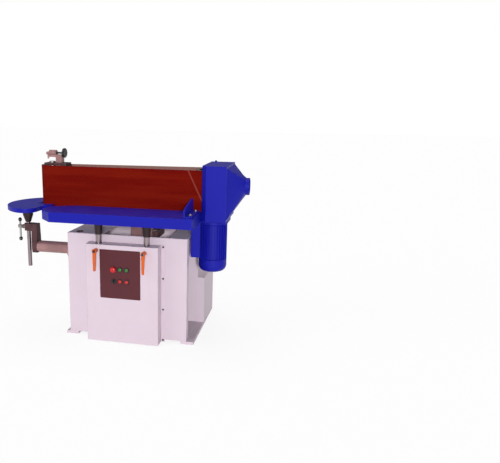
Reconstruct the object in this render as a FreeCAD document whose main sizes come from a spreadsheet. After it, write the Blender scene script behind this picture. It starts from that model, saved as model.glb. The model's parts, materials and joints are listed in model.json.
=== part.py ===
import FreeCAD, Part

import os
import re

import Sketcher
from FreeCAD import Placement, Rotation, Vector

# Edge belt sander with an oscillating belt head.
# The origin is on the floor in the middle of the two foot rails, +X along the belt to the
# drive end, +Y to the back and +Z up. All sizes are in millimetres.

SIZES = {
    # Foot rails and the cabinet that stands on them
    "left_foot_overhang": 25,
    "right_foot_overhang": 42,
    "foot_rail_width": 76,
    "foot_rail_length": 652,
    "foot_rail_height": 18,
    "foot_rail_bevel": 4,
    "floor_hole_radius": 7,
    "floor_hole_inset": 55,
    "cabinet_left": -371,
    "motor_side_gap": 25.5,
    "cabinet_depth": 328,
    "cabinet_top": 633,
    "cabinet_wall": 3,
    "cabinet_return": 54,
    "bay_left_rim": 220,
    "bay_right_rim": 110,
    "bay_front_rim": 16,
    "bay_back_rim": 22,
    "bay_corner": 14,
    "rear_box_height": 315,
    "rear_box_wall": 2,
    # Control box on the front of the cabinet
    "box_left": -230,
    "box_width": 433,
    "box_depth": 74,
    "box_bottom": 5,
    "box_top": 589,
    "box_wall": 2,
    "box_flange": 22,
    "box_fold": 4,
    "flange_screw_low": 16,
    "flange_screw_pitch": 188,
    "screw_head_radius": 5.5,
    "screw_head_height": 3.2,
    "panel_inset": 86,
    "panel_width": 243,
    "panel_top_margin": 26,
    "panel_height": 289,
    "panel_thickness": 2,
    "panel_corner": 6,
    "panel_screw_inset": 11,
    "window_margin": 22,
    # Switches on the control panel
    "switch_inset": 84,
    "switch_pitch": 39,
    "switch_rise": 175,
    "switch_drop": 71,
    "collar_radius": 14.5,
    "collar_height": 6,
    "switch_neck_radius": 11,
    "switch_block_width": 30,
    "switch_block_depth": 46,
    "button_radius": 9.7,
    "button_gap": 0.5,
    "button_height": 8,
    "button_travel": 3,
    "contactor_width": 45,
    "contactor_pitch": 58,
    "contactor_height": 63,
    "contactor_depth": 42,
    "contactor_cap": 14,
    "contactor_step": 12,
    "contactor_bottom": 10,
    "contactor_inset": 85,
    "contactor_rail_height": 35,
    "contactor_rail_depth": 8,
    "stem_radius": 3,
    "mushroom_radius": 17,
    "mushroom_height": 13,
    # Table, its posts and the locking levers
    "table_top": 778,
    "table_left": -491,
    "table_right": 414,
    "table_front": -481,
    "table_corner": 79,
    "table_apron": 58,
    "table_plate": 14,
    "apron_wall": 12,
    "table_rib": 8,
    "rib_height": 26,
    "table_gap": 4,
    "idler_cut_right": -346,
    "idler_cut_depth": 73,
    "post_inset": 67,
    "post_pitch": 289,
    "post_line": -361,
    "post_radius": 17,
    "post_wall": 4,
    "post_bottom": 120,
    "post_flange_radius": 29,
    "post_flange_neck": 21,
    "post_flange_height": 78,
    "post_boss_radius": 34,
    "running_fit": 0.05,
    "guide_width": 80,
    "guide_height": 156,
    "guide_front_gap": 10,
    "guide_slit": 3,
    "lever_drop": 30,
    "lever_reach": 46,
    "lever_hub_radius": 12,
    "lever_spindle_radius": 8,
    "lever_length": 118,
    "lever_width": 18,
    "lever_thickness": 9,
    "lever_eye": 6,
    "stop_left": 357,
    "stop_thickness": 10,
    "stop_height": 78,
    "stop_front": -466,
    "stop_back": -231,
    "stop_foot": 38,
    "stop_corner": 26,
    "stop_bolt_radius": 5,
    "stop_bolt_inset": 48,
    "skirt_width": 52,
    "skirt_drop": 204,
    "skirt_front": -268,
    "skirt_depth": 32,
    "skirt_wall": 3,
    # Belt, drums and platen
    "belt_front": -223,
    "belt_bottom": 762,
    "belt_width": 250,
    "belt_thickness": 1.7,
    "belt_slack": 0.3,
    "drum_inset": 3,
    "drive_across": 464,
    "drive_radius": 105,
    "drive_rubber": 6,
    "drive_rim": 8,
    "drive_web": 14,
    "drive_hub_radius": 34,
    "drive_hub_height": 90,
    "drive_window_radius": 15,
    "idler_across": -531,
    "idler_radius": 63,
    "idler_crown": 0.5,
    "idler_rim": 7,
    "idler_hub_radius": 26,
    "idler_hub_height": 34,
    "idler_axle_radius": 12,
    "platen_left": -455,
    "platen_right": 330,
    "platen_thickness": 12,
    "platen_lap": 6,
    # Head frame inside the belt loop
    "beam_left": -412,
    "beam_right": 320,
    "beam_depth": 109,
    "beam_bottom": 775,
    "beam_top": 1000,
    "beam_wall": 14,
    "beam_rib": 10,
    "beam_rib_count": 7,
    "neck_left": 230,
    "neck_depth": 100,
    "neck_front_gap": 9,
    "motor_plate_thickness": 18,
    "motor_plate_right": 560,
    "motor_plate_half": 87,
    "motor_plate_corner": 36,
    "motor_spigot_radius": 60,
    "socket_length": 112,
    "tongue_width": 40,
    "tongue_height": 60,
    "tongue_length": 95,
    "tongue_middle": 890,
    "tongue_inset": 30,
    "socket_wall": 12,
    "flat_clearance": 0.3,
    "carriage_gap": 13,
    "carriage_wall": 30,
    "carriage_front_gap": 21,
    "carriage_depth": 80,
    "carriage_arm": 11,
    "arm_lift": 3,
    "arm_overhang": 34,
    # Belt tracking screw on top of the idler carriage
    "tracking_lift": 58,
    "tracking_barrel_radius": 17,
    "tracking_barrel_length": 45,
    "tracking_barrel_left": -546,
    "tracking_block_left": -500,
    "tracking_block_right": -462,
    "tracking_block_depth": 40,
    "tracking_stud_radius": 5,
    "tracking_stud_gap": 11,
    "tracking_screw_radius": 6,
    "knob_left": -458,
    "knob_radius": 29,
    "knob_thickness": 16,
    "knob_flute_radius": 5,
    "knob_flutes": 9,
    # Slide, guide bars and the eccentric drive in the cabinet
    "head_stroke": 12,
    "bar_left": -10,
    "bar_spacing": 110,
    "bar_line": -110,
    "bar_radius": 15,
    "bar_bottom": 112,
    "bar_top": 626,
    "bush_wall": 6,
    "bush_length": 60,
    "sleeve_wall": 9,
    "sleeve_bottom": 300,
    "sleeve_top": 520,
    "column_front": -200,
    "column_thickness": 36,
    "column_width": 130,
    "column_bottom": 205,
    "bracket_height": 38,
    "bracket_overhang": 35,
    "lower_bracket": 112,
    "upper_bracket": 588,
    "eccentric_height": 252,
    "eccentric_radius": 34,
    "eccentric_thickness": 18,
    "eccentric_pin_radius": 8,
    "eccentric_shaft_radius": 10,
    "eccentric_back": -222,
    "gearbox_width": 80,
    "gearbox_depth": 72,
    "gearbox_bottom": 196,
    "gearbox_top": 312,
    "gearmotor_radius": 40,
    "gearmotor_length": 150,
    "gearmotor_foot": 12,
    # Motor under the hood
    "motor_radius": 84.5,
    "motor_core_radius": 77,
    "motor_bottom": 400,
    "motor_flange_radius": 86,
    "motor_flange_height": 13,
    "motor_shoulder": 482,
    "motor_fin_thickness": 3,
    "motor_fins": 30,
    "motor_shaft_radius": 14,
    "shaft_bottom": 500,
    "cowl_wall": 2,
    "cowl_lap": 12,
    "cowl_slot_width": 5,
    "cowl_slots": 18,
    "terminal_width": 92,
    "terminal_height": 84,
    "terminal_depth": 44,
    "terminal_bottom": 560,
    "terminal_corner": 8,
    # Dust hood, funnel and port
    "hood_left": 416,
    "hood_right": 560,
    "hood_front": -266,
    "hood_back": 69,
    "hood_top": 1042,
    "hood_wall": 3,
    "hood_bevel": 27,
    "mouth_margin": 14,
    "funnel_length": 90,
    "funnel_rim": 10,
    "port_radius": 50,
    "port_length": 20,
    "port_height": 917,
    # Half round end table, its post, arm and clamp
    "end_table_top": 780,
    "end_table_radius": 250,
    "end_table_back": -206,
    "end_table_thickness": 25,
    "end_table_plate": 11,
    "end_table_rim": 11,
    "end_table_gap": 7,
    "end_table_side": -536,
    "end_table_nose_right": -496,
    "end_table_nose_front": -284,
    "end_table_nose_depth": 26,
    "end_post_across": -652,
    "end_post_radius": 12,
    "end_post_bottom": 394,
    "end_flange_radius": 31,
    "end_flange_height": 27,
    "arm_line": -266,
    "arm_height": 522,
    "arm_radius": 35,
    "arm_wall": 4,
    "arm_flange_radius": 60,
    "arm_flange_thickness": 8,
    "arm_insert": 12,
    "bracket_left": -622,
    "bracket_right": -587,
    "bracket_bottom": 485,
    "bracket_top": 662,
    "bracket_depth": 56,
    "collar_wall": 12,
    "collar_depth": 44,
    "clamp_screw_radius": 6,
    "clamp_bar_across": -707,
    "clamp_bar_radius": 6,
    "clamp_bar_above": 30,
    "clamp_bar_below": 66,
    "clamp_grip_radius": 11,
    "clamp_grip_length": 24,
}

# Places that follow from the sizes
CABINET_FRONT = "(-foot_rail_length / 2)"
CABINET_BACK = "(cabinet_depth - foot_rail_length / 2)"
CABINET_RIGHT = "(drive_across - motor_radius - motor_side_gap)"
FEET_LEFT = "(cabinet_left - left_foot_overhang)"
FEET_RIGHT = f"({CABINET_RIGHT} + right_foot_overhang)"
BOX_RIGHT = "(box_left + box_width)"
BOX_FRONT = f"({CABINET_FRONT} - box_depth)"
PANEL_FRONT = f"({BOX_FRONT} - panel_thickness)"
PANEL_LEFT = "(box_left + panel_inset)"
PANEL_BOTTOM = "(box_top - panel_top_margin - panel_height)"
SWITCH_LEFT = f"({PANEL_LEFT} + switch_inset)"
SWITCH_UPPER = f"({PANEL_BOTTOM} + switch_rise)"
SWITCH_LOWER = f"({SWITCH_UPPER} - switch_drop)"
POST_PLACES = {"left": "(box_left + post_inset)", "right": "(box_left + post_inset + post_pitch)"}
GUIDE_TOP = "(box_top - box_wall - 1)"
GUIDE_BOTTOM = f"({GUIDE_TOP} - guide_height)"
LEVER_HEIGHT = f"({GUIDE_TOP} - lever_drop)"
TABLE_UNDERSIDE = "(table_top - table_apron)"
TABLE_BACK = "(belt_front - table_gap)"
BELT_INSIDE = "(belt_front + belt_thickness)"
BELT_TOP = "(belt_bottom + belt_width)"
DRIVE_LINE = f"({BELT_INSIDE} + belt_slack + drive_radius)"
IDLER_LINE = f"({BELT_INSIDE} + belt_slack + idler_radius)"
DRUM_BOTTOM = "(belt_bottom + drum_inset)"
DRUM_TOP = f"({BELT_TOP} - drum_inset)"
BEAM_FRONT = f"({BELT_INSIDE} + platen_thickness + 0.3)"
BEAM_BACK = f"({BEAM_FRONT} + beam_depth)"
CARRIAGE_RIGHT = "(beam_left - carriage_gap)"
CARRIAGE_LEFT = f"({CARRIAGE_RIGHT} - carriage_wall)"
CARRIAGE_FRONT = f"({BELT_INSIDE} + carriage_front_gap)"
CARRIAGE_BACK = f"({CARRIAGE_FRONT} + carriage_depth)"
ARM_BOTTOM = f"({BELT_TOP} + arm_lift)"
ARM_TOP = f"({ARM_BOTTOM} + carriage_arm)"
TRACKING_LINE = f"({ARM_TOP} + tracking_lift)"
TONGUE_FRONT = f"({BEAM_FRONT} + beam_wall + tongue_inset - socket_wall)"
HOOD_BOTTOM = "(belt_bottom - 35)"
MOTOR_TOP = f"({HOOD_BOTTOM} - motor_plate_thickness)"
BAR_RIGHT = "(bar_left + bar_spacing)"
BAR_MIDDLE = "(bar_left + bar_spacing / 2)"
GEARBOX_BACK = "(eccentric_back - eccentric_thickness - 2)"
END_TABLE_UNDERSIDE = "(end_table_top - end_table_thickness)"

TURN = {
    "X": Rotation(Vector(0, 0, 1), Vector(1, 0, 0)),
    "-X": Rotation(Vector(0, 0, 1), Vector(-1, 0, 0)),
    "Y": Rotation(Vector(0, 0, 1), Vector(0, 1, 0)),
    "-Y": Rotation(Vector(0, 0, 1), Vector(0, -1, 0)),
    "Z": Rotation(),
}

doc = FreeCAD.newDocument("EdgeSander")
sheet = doc.addObject("Spreadsheet::Sheet", "Sizes")
for row, (alias, length) in enumerate(SIZES.items(), start=1):
    sheet.set(f"A{row}", alias)
    sheet.set(f"B{row}", str(length))
    sheet.setAlias(f"B{row}", alias)
doc.recompute()

sub_parts = []


def on_sheet(formula):
    """A formula of size names as an expression on the sheet."""
    return re.sub(r"[a-z_]+", lambda word: f"Sizes.{word[0]}" if word[0] in SIZES else word[0], str(formula))


def number(formula):
    """What a formula of size names comes to."""
    return float(sheet.evalExpression(on_sheet(formula)))


def bind(thing, path, formula):
    """Tie one property to the sheet."""
    thing.setExpression(path, on_sheet(formula))


def place(thing, across, along, up):
    """Tie a thing's position to the sheet."""
    bind(thing, "Placement.Base.x", across)
    bind(thing, "Placement.Base.y", along)
    bind(thing, "Placement.Base.z", up)


def keep(label, thing):
    """Name a finished sub-part, which is written under that name."""
    thing.Label = label
    sub_parts.append(thing)
    return thing


# Plain solids and how they are joined


def block(across, along, up):
    """A box between two faces on each axis."""
    made = doc.addObject("Part::Box", "Block")
    for side, (low, high) in zip(("Length", "Width", "Height"), (across, along, up)):
        bind(made, side, f"({high}) - ({low})")
    place(made, across[0], along[0], up[0])
    return made


def rod(axis, start, length, radius):
    """A round bar from a point along an axis."""
    made = doc.addObject("Part::Cylinder", "Rod")
    made.Placement = Placement(Vector(), TURN[axis])
    bind(made, "Radius", radius)
    bind(made, "Height", length)
    place(made, *start)
    return made


def fuse(*pieces):
    """One solid of several."""
    made = doc.addObject("Part::MultiFuse", "Fusion")
    made.Shapes = list(pieces)
    made.Refine = True
    return made


def cut(base, *tools):
    """A solid with others taken out of it."""
    made = doc.addObject("Part::Cut", "Cut")
    made.Base = base
    made.Tool = tools[0] if len(tools) == 1 else fuse(*tools)
    made.Refine = True
    return made


def group(*pieces):
    """Like pieces that share a name and stay separate solids."""
    made = doc.addObject("Part::Compound", "Group")
    made.Links = list(pieces)
    return made


# Sketched bodies


def origin_part(owner, role):
    """A base plane or axis of a body."""
    return next(item for item in owner.Origin.OriginFeatures if item.Role == role)


def sketch(owner, plane, level="0"):
    """A sketch on a base plane of its body, at a level along the axis it faces."""
    made = owner.newObject("Sketcher::SketchObject", "Sketch")
    made.AttachmentSupport = [(origin_part(owner, plane), "")]
    made.MapMode = "FlatFace"
    bind(made, "AttachmentOffset.Base.z", f"-({level})" if plane == "XZ_Plane" else level)
    return made


def hold(flat, kind, first, second, formula):
    """A dimension of a sketch, tied to the sheet."""
    held = flat.addConstraint(Sketcher.Constraint(kind, *first, *second, number(formula)))
    flat.setExpression(f"Constraints[{held}]", on_sheet(formula))


def outline(flat, corners):
    """A closed outline of straight lines, each corner held by two dimensions."""
    first = flat.GeometryCount
    count = len(corners)
    spots = [Vector(number(across), number(up), 0) for across, up in corners]
    for index in range(count):
        flat.addGeometry(Part.LineSegment(spots[index], spots[(index + 1) % count]), False)
    for index, (across, up) in enumerate(corners):
        line = first + index
        following = first + (index + 1) % count
        flat.addConstraint(Sketcher.Constraint("Coincident", line, 2, following, 1))
        hold(flat, "DistanceX", (-1, 1), (line, 1), across)
        hold(flat, "DistanceY", (-1, 1), (line, 1), up)


def circle(flat, centre, radius):
    """A circle held by its centre and radius."""
    across, up = centre
    drawn = flat.addGeometry(
        Part.Circle(Vector(number(across), number(up), 0), Vector(0, 0, 1), number(radius)), False
    )
    hold(flat, "DistanceX", (-1, 1), (drawn, 3), across)
    hold(flat, "DistanceY", (-1, 1), (drawn, 3), up)
    hold(flat, "Radius", (drawn,), (), radius)


def rectangle(left, right, low, high):
    """The corners of a rectangle."""
    return [(left, low), (right, low), (right, high), (left, high)]


def body():
    """An empty body."""
    return doc.addObject("PartDesign::Body", "Body")


def pad(owner, plane, low, high, corners=None, circles=()):
    """Material added between two levels of a base plane's own axis."""
    flat = sketch(owner, plane, high if plane == "XZ_Plane" else low)
    if corners:
        outline(flat, corners)
    for centre, radius in circles:
        circle(flat, centre, radius)
    made = owner.newObject("PartDesign::Pad", "Pad")
    made.Profile = flat
    bind(made, "Length", f"({high}) - ({low})")
    return made


def pocket(owner, plane, low, high, corners=None, circles=()):
    """Material taken away between two levels of a base plane's own axis."""
    flat = sketch(owner, plane, low if plane == "XZ_Plane" else high)
    if corners:
        outline(flat, corners)
    for centre, radius in circles:
        circle(flat, centre, radius)
    made = owner.newObject("PartDesign::Pocket", "Pocket")
    made.Profile = flat
    bind(made, "Length", f"({high}) - ({low})")
    return made


def turned(profile, start, axis="Z", hollow=None):
    """A turned piece: half sections of (radius, height) spun about the piece's own axis."""
    made = body()
    half = sketch(made, "XZ_Plane")
    outline(half, profile)
    if hollow:
        outline(half, hollow)
    spun = made.newObject("PartDesign::Revolution", "Turning")
    spun.Profile = half
    spun.ReferenceAxis = (half, ["V_Axis"])
    spun.Angle = 360
    made.Placement = Placement(Vector(), TURN[axis])
    place(made, *start)
    return made


def around(owner, feature, count):
    """Repeat a feature round its body's own axis."""
    made = owner.newObject("PartDesign::PolarPattern", "Round")
    made.Originals = [feature]
    made.Axis = (origin_part(owner, "Z_Axis"), [""])
    made.Angle = 360
    bind(made, "Occurrences", count)
    owner.Tip = made
    return made


def along(owner, feature, length, count):
    """Repeat a feature along X."""
    made = owner.newObject("PartDesign::LinearPattern", "Row")
    made.Originals = [feature]
    made.Direction = (origin_part(owner, "X_Axis"), [""])
    bind(made, "Length", length)
    bind(made, "Occurrences", count)
    owner.Tip = made
    return made


def runs_along(axis):
    """A test that picks straight edges along one axis."""
    return lambda edge: isinstance(edge.Curve, Part.Line) and abs(edge.Curve.Direction.dot(axis)) > 0.999


def round_off(owner, radius, picked):
    """Round the edges that a test picks on what is built so far."""
    doc.recompute()
    base = owner.Tip
    made = owner.newObject("PartDesign::Fillet", "Rounding")
    made.Base = (base, [f"Edge{index}" for index, edge in enumerate(base.Shape.Edges, 1) if picked(edge)])
    bind(made, "Radius", radius)
    return made


# Stand


def foot_rail(label, left):
    """A flat steel rail with bevelled long edges and a floor bolt hole near each end."""
    rail = body()
    right = f"{left} + foot_rail_width"
    shoulder = "foot_rail_height - foot_rail_bevel"
    section = [
        (left, "0"),
        (right, "0"),
        (right, shoulder),
        (f"{right} - foot_rail_bevel", "foot_rail_height"),
        (f"{left} + foot_rail_bevel", "foot_rail_height"),
        (left, shoulder),
    ]
    pad(rail, "XZ_Plane", CABINET_FRONT, "foot_rail_length / 2", section)
    middle = f"{left} + foot_rail_width / 2"
    reach = "foot_rail_length / 2 - floor_hole_inset"
    holes = [((middle, f"-({reach})"), "floor_hole_radius"), ((middle, reach), "floor_hole_radius")]
    pocket(rail, "XY_Plane", "0", "foot_rail_height", circles=holes)
    keep(label, rail)


def cabinet():
    """Folded sheet shell, open on the right behind a short return, with its top and floor."""
    shell = body()
    inner_left = "cabinet_left + cabinet_wall"
    inner_front = f"{CABINET_FRONT} + cabinet_wall"
    inner_back = f"{CABINET_BACK} - cabinet_wall"
    return_left = f"{CABINET_RIGHT} - cabinet_wall"
    return_back = f"{CABINET_FRONT} + cabinet_return"
    plan = [
        (CABINET_RIGHT, return_back),
        (return_left, return_back),
        (return_left, inner_front),
        (inner_left, inner_front),
        (inner_left, inner_back),
        (CABINET_RIGHT, inner_back),
        (CABINET_RIGHT, CABINET_BACK),
        ("cabinet_left", CABINET_BACK),
        ("cabinet_left", CABINET_FRONT),
        (CABINET_RIGHT, CABINET_FRONT),
    ]
    pad(shell, "XY_Plane", "foot_rail_height", "cabinet_top - cabinet_wall", plan)
    cable_window = rectangle("box_left + 90", f"{BOX_RIGHT} - 90", "box_bottom + 60", f"{GUIDE_BOTTOM} - 40")
    pocket(shell, "XZ_Plane", f"{CABINET_FRONT} - 1", f"{inner_front} + 1", cable_window)
    arm_hole = [(("arm_line", "arm_height"), "arm_radius + flat_clearance")]
    pocket(shell, "YZ_Plane", "cabinet_left - 1", f"{inner_left} + 1", circles=arm_hole)
    keep("cabinet_shell", shell)

    top = body()
    level = ("cabinet_top - cabinet_wall", "cabinet_top")
    pad(top, "XY_Plane", *level, rectangle("cabinet_left", CABINET_RIGHT, CABINET_FRONT, CABINET_BACK))
    bay = rectangle(
        "cabinet_left + bay_left_rim",
        f"{CABINET_RIGHT} - bay_right_rim",
        f"{CABINET_FRONT} + bay_front_rim",
        f"{CABINET_BACK} - bay_back_rim",
    )
    pocket(top, "XY_Plane", *level, bay)
    upright = runs_along(Vector(0, 0, 1))
    inside = number(f"{CABINET_RIGHT} - 5")
    left_side = number("cabinet_left + 5")
    round_off(
        top,
        "bay_corner",
        lambda edge: upright(edge) and left_side < edge.CenterOfMass.x < inside,
    )
    keep("cabinet_top", top)

    floor = block(
        (inner_left, return_left),
        (inner_front, inner_back),
        ("foot_rail_height", "foot_rail_height + cabinet_wall"),
    )
    keep("cabinet_floor", floor)


def rear_box():
    """Low closed box behind the cabinet, open underneath."""
    low = body()
    pad(
        low,
        "XY_Plane",
        "foot_rail_height",
        "rear_box_height",
        rectangle(FEET_LEFT, FEET_RIGHT, CABINET_BACK, "foot_rail_length / 2"),
    )
    hollow = rectangle(
        f"{FEET_LEFT} + rear_box_wall",
        f"{FEET_RIGHT} - rear_box_wall",
        f"{CABINET_BACK} + rear_box_wall",
        "foot_rail_length / 2 - rear_box_wall",
    )
    pocket(low, "XY_Plane", "foot_rail_height", "rear_box_height - rear_box_wall", hollow)
    keep("rear_box", low)


# Control box


def control_box():
    """Folded cover with side flanges, a window for the panel and holes for posts and levers."""
    cover = body()
    flange_left = "box_left - box_flange"
    flange_right = f"{BOX_RIGHT} + box_flange"
    flange_front = f"{CABINET_FRONT} - box_wall"
    plan = [
        (flange_left, CABINET_FRONT),
        (flange_left, flange_front),
        ("box_left", flange_front),
        ("box_left", BOX_FRONT),
        (BOX_RIGHT, BOX_FRONT),
        (BOX_RIGHT, flange_front),
        (flange_right, flange_front),
        (flange_right, CABINET_FRONT),
        (f"{BOX_RIGHT} - box_wall", CABINET_FRONT),
        (f"{BOX_RIGHT} - box_wall", f"{BOX_FRONT} + box_wall"),
        ("box_left + box_wall", f"{BOX_FRONT} + box_wall"),
        ("box_left + box_wall", CABINET_FRONT),
    ]
    pad(cover, "XY_Plane", "box_bottom", "box_top", plan)
    lid = rectangle("box_left", BOX_RIGHT, BOX_FRONT, CABINET_FRONT)
    pad(cover, "XY_Plane", "box_top - box_wall", "box_top", lid)
    pad(cover, "XY_Plane", "box_bottom", "box_bottom + box_wall", lid)
    window = rectangle(
        f"{PANEL_LEFT} + window_margin",
        f"{PANEL_LEFT} + panel_width - window_margin",
        f"{PANEL_BOTTOM} + window_margin",
        f"{PANEL_BOTTOM} + panel_height - window_margin",
    )
    front = (f"{BOX_FRONT} - 1", f"{BOX_FRONT} + box_wall + 1")
    pocket(cover, "XZ_Plane", *front, window)
    spindle_hole = "lever_spindle_radius + 1"
    spindles = [((across, LEVER_HEIGHT), spindle_hole) for across in POST_PLACES.values()]
    pocket(cover, "XZ_Plane", *front, circles=spindles)
    posts = [((across, "post_line"), "post_radius + 2") for across in POST_PLACES.values()]
    pocket(cover, "XY_Plane", "box_top - box_wall - 1", "box_top + 1", circles=posts)
    upright = runs_along(Vector(0, 0, 1))
    front_line = number(BOX_FRONT)
    height = number("box_top - box_bottom")
    round_off(
        cover,
        "box_fold",
        lambda edge: upright(edge)
        and abs(edge.CenterOfMass.y - front_line) < 0.01
        and edge.Length > height - 1,
    )
    keep("control_box", cover)


def screw_head(across, surface, up):
    """A low domed screw head on a face that looks to the front."""
    dome = [
        ("0", "0"),
        ("screw_head_radius", "0"),
        ("screw_head_radius", "screw_head_height * 0.4"),
        ("screw_head_radius * 0.6", "screw_head_height"),
        ("0", "screw_head_height"),
    ]
    return turned(dome, (across, surface, up), "-Y")


def cover_screws():
    """The screws that hold the control box and its panel."""
    heads = []
    flange_front = f"{CABINET_FRONT} - box_wall"
    for across in ("box_left - box_flange / 2", f"{BOX_RIGHT} + box_flange / 2"):
        for step in range(4):
            height = f"flange_screw_low + {step} * flange_screw_pitch"
            heads.append(screw_head(across, flange_front, height))
    for across in ("panel_screw_inset", "panel_width - panel_screw_inset"):
        for up in ("panel_screw_inset", "panel_height - panel_screw_inset"):
            heads.append(screw_head(f"{PANEL_LEFT} + {across}", PANEL_FRONT, f"{PANEL_BOTTOM} + {up}"))
    keep("cover_screws", group(*heads))


def switch_places():
    """Where the six switches sit, column by column from the left."""
    for column in range(3):
        across = f"{SWITCH_LEFT} + {column} * switch_pitch"
        for up in (SWITCH_UPPER, SWITCH_LOWER):
            yield across, up


def control_panel():
    """Flat plate with six round holes."""
    plate = body()
    face = rectangle(
        PANEL_LEFT, f"{PANEL_LEFT} + panel_width", PANEL_BOTTOM, f"{PANEL_BOTTOM} + panel_height"
    )
    pad(plate, "XZ_Plane", PANEL_FRONT, BOX_FRONT, face)
    holes = [(spot, "switch_neck_radius + 0.2") for spot in switch_places()]
    pocket(plate, "XZ_Plane", PANEL_FRONT, BOX_FRONT, circles=holes)
    round_off(plate, "panel_corner", runs_along(Vector(0, 1, 0)))
    keep("control_panel", plate)


def switch_bodies():
    """Collar, neck and contact block of each switch, bored for its button."""
    bodies = []
    for across, up in switch_places():
        bored = "button_radius + button_gap"
        stem_bore = "stem_radius + button_gap"
        bottom = "-(panel_thickness + 4)"
        depth = "-(panel_thickness + switch_block_depth)"
        section = [
            (stem_bore, depth),
            ("switch_neck_radius", depth),
            ("switch_neck_radius", "0"),
            ("collar_radius", "0"),
            ("collar_radius", "collar_height - 1"),
            ("collar_radius - 1", "collar_height"),
            (bored, "collar_height"),
            (bored, bottom),
            (stem_bore, bottom),
        ]
        barrel = turned(section, (across, PANEL_FRONT, up), "-Y")
        half = "switch_block_width / 2"
        housing = block(
            (f"{across} - {half}", f"{across} + {half}"),
            (BOX_FRONT, f"{BOX_FRONT} + switch_block_depth"),
            (f"{up} - {half}", f"{up} + {half}"),
        )
        way = rod(
            "Y",
            (across, PANEL_FRONT, up),
            "switch_block_depth + panel_thickness + 1",
            "switch_neck_radius - 0.5",
        )
        bodies.append(fuse(barrel, cut(housing, way)))
    keep("switch_bodies", group(*bodies))


def push_button(label, place_at):
    """A flush button with a shallow dome and its stem."""
    across, up = place_at
    section = [
        ("0", "-30"),
        ("stem_radius", "-30"),
        ("stem_radius", "-2"),
        ("button_radius", "-2"),
        ("button_radius", "button_height - 2"),
        ("button_radius - 1", "button_height - 1"),
        ("button_radius * 0.5", "button_height"),
        ("0", "button_height"),
    ]
    keep(label, turned(section, (across, PANEL_FRONT, up), "-Y"))


def emergency_stop(place_at):
    """A mushroom head on a stem that clears the collar when it is pressed."""
    across, up = place_at
    under = "collar_height + button_travel + 0.5"
    section = [
        ("0", "-30"),
        ("stem_radius", "-30"),
        ("stem_radius", "-2"),
        ("button_radius", "-2"),
        ("button_radius", under),
        ("mushroom_radius - 2", under),
        ("mushroom_radius", f"{under} + 2"),
        ("mushroom_radius", f"{under} + 5"),
        ("mushroom_radius - 4", f"{under} + 9.5"),
        ("mushroom_radius - 10", f"{under} + 12"),
        ("0", f"{under} + mushroom_height"),
    ]
    keep("emergency_stop", turned(section, (across, PANEL_FRONT, up), "-Y"))


def selector_knob(place_at):
    """A round knob with a raised grip bar across it."""
    across, up = place_at
    section = [
        ("0", "-30"),
        ("stem_radius", "-30"),
        ("stem_radius", "-2"),
        ("button_radius", "-2"),
        ("button_radius", "button_height - 1"),
        ("button_radius - 1", "button_height"),
        ("0", "button_height"),
    ]
    knob = turned(section, (across, PANEL_FRONT, up), "-Y")
    bar = block(
        (f"{across} - 3", f"{across} + 3"),
        (f"{PANEL_FRONT} - button_height - 9", f"{PANEL_FRONT} - button_height + 2"),
        (f"{up} - button_radius + 0.8", f"{up} + button_radius - 0.8"),
    )
    keep("selector_knob", fuse(knob, bar))


def contactors():
    """Three contactors side by side on a rail, on the cabinet's front behind the cover."""
    first = "(box_left + contactor_inset)"
    middle = "(contactor_bottom + contactor_height / 2)"
    mounted = f"({CABINET_FRONT} - contactor_rail_depth)"
    face = f"({mounted} - contactor_depth)"
    rail = block(
        (f"{first} - contactor_step", f"{first} + 2 * contactor_pitch + contactor_width + contactor_step"),
        (mounted, CABINET_FRONT),
        (f"{middle} - contactor_rail_height / 2", f"{middle} + contactor_rail_height / 2"),
    )
    pieces = [rail]
    for index in range(3):
        left = f"({first} + {index} * contactor_pitch)"
        right = f"({left} + contactor_width)"
        top = "contactor_bottom + contactor_height"
        pieces.append(block((left, right), (face, mounted), ("contactor_bottom", top)))
        inner = (f"{left} + contactor_step / 2", f"{right} - contactor_step / 2")
        levels = ("contactor_bottom + contactor_step", f"{top} - contactor_step")
        pieces.append(block(inner, (f"{face} - contactor_cap", face), levels))
    keep("contactors", fuse(*pieces))


# Table


def post_guide(label, across):
    """Cast guide block in the control box, bored for the post and slit to clamp on it."""
    guide = body()
    half = "guide_width / 2"
    guide_front = f"{BOX_FRONT} + guide_front_gap"
    level = (GUIDE_BOTTOM, GUIDE_TOP)
    face = rectangle(f"{across} - {half}", f"{across} + {half}", guide_front, CABINET_FRONT)
    pad(guide, "XY_Plane", *level, face)
    bore = [((across, "post_line"), "post_radius + running_fit")]
    pocket(guide, "XY_Plane", *level, circles=bore)
    slit = rectangle(
        f"{across} - guide_slit / 2",
        f"{across} + guide_slit / 2",
        "post_line + post_radius - 2",
        CABINET_FRONT,
    )
    pocket(guide, "XY_Plane", *level, slit)
    spindle = [((across, LEVER_HEIGHT), "lever_spindle_radius + running_fit")]
    pocket(guide, "XZ_Plane", guide_front, "post_line", circles=spindle)
    keep(label, guide)


def table_post(label, across):
    """Bright steel tube, closed at the top, that the table stands on."""
    length = f"{TABLE_UNDERSIDE} - post_bottom"
    section = [
        ("post_radius - post_wall", "0"),
        ("post_radius - 1", "0"),
        ("post_radius", "1"),
        ("post_radius", length),
        ("0", length),
        ("0", f"{length} - 10"),
        ("post_radius - post_wall", f"{length} - 10"),
    ]
    keep(label, turned(section, (across, "post_line", "post_bottom")))


def post_flange(label, across):
    """Cast flange that widens from the post to the underside of the table."""
    inner = "post_radius + running_fit"
    section = [
        (inner, "0"),
        ("post_flange_neck", "0"),
        ("post_flange_neck + 1", "post_flange_height * 0.35"),
        ("post_flange_radius - 3", "post_flange_height - 9"),
        ("post_flange_radius", "post_flange_height - 7"),
        ("post_flange_radius", "post_flange_height"),
        (inner, "post_flange_height"),
    ]
    keep(label, turned(section, (across, "post_line", f"{TABLE_UNDERSIDE} - post_flange_height")))


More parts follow.
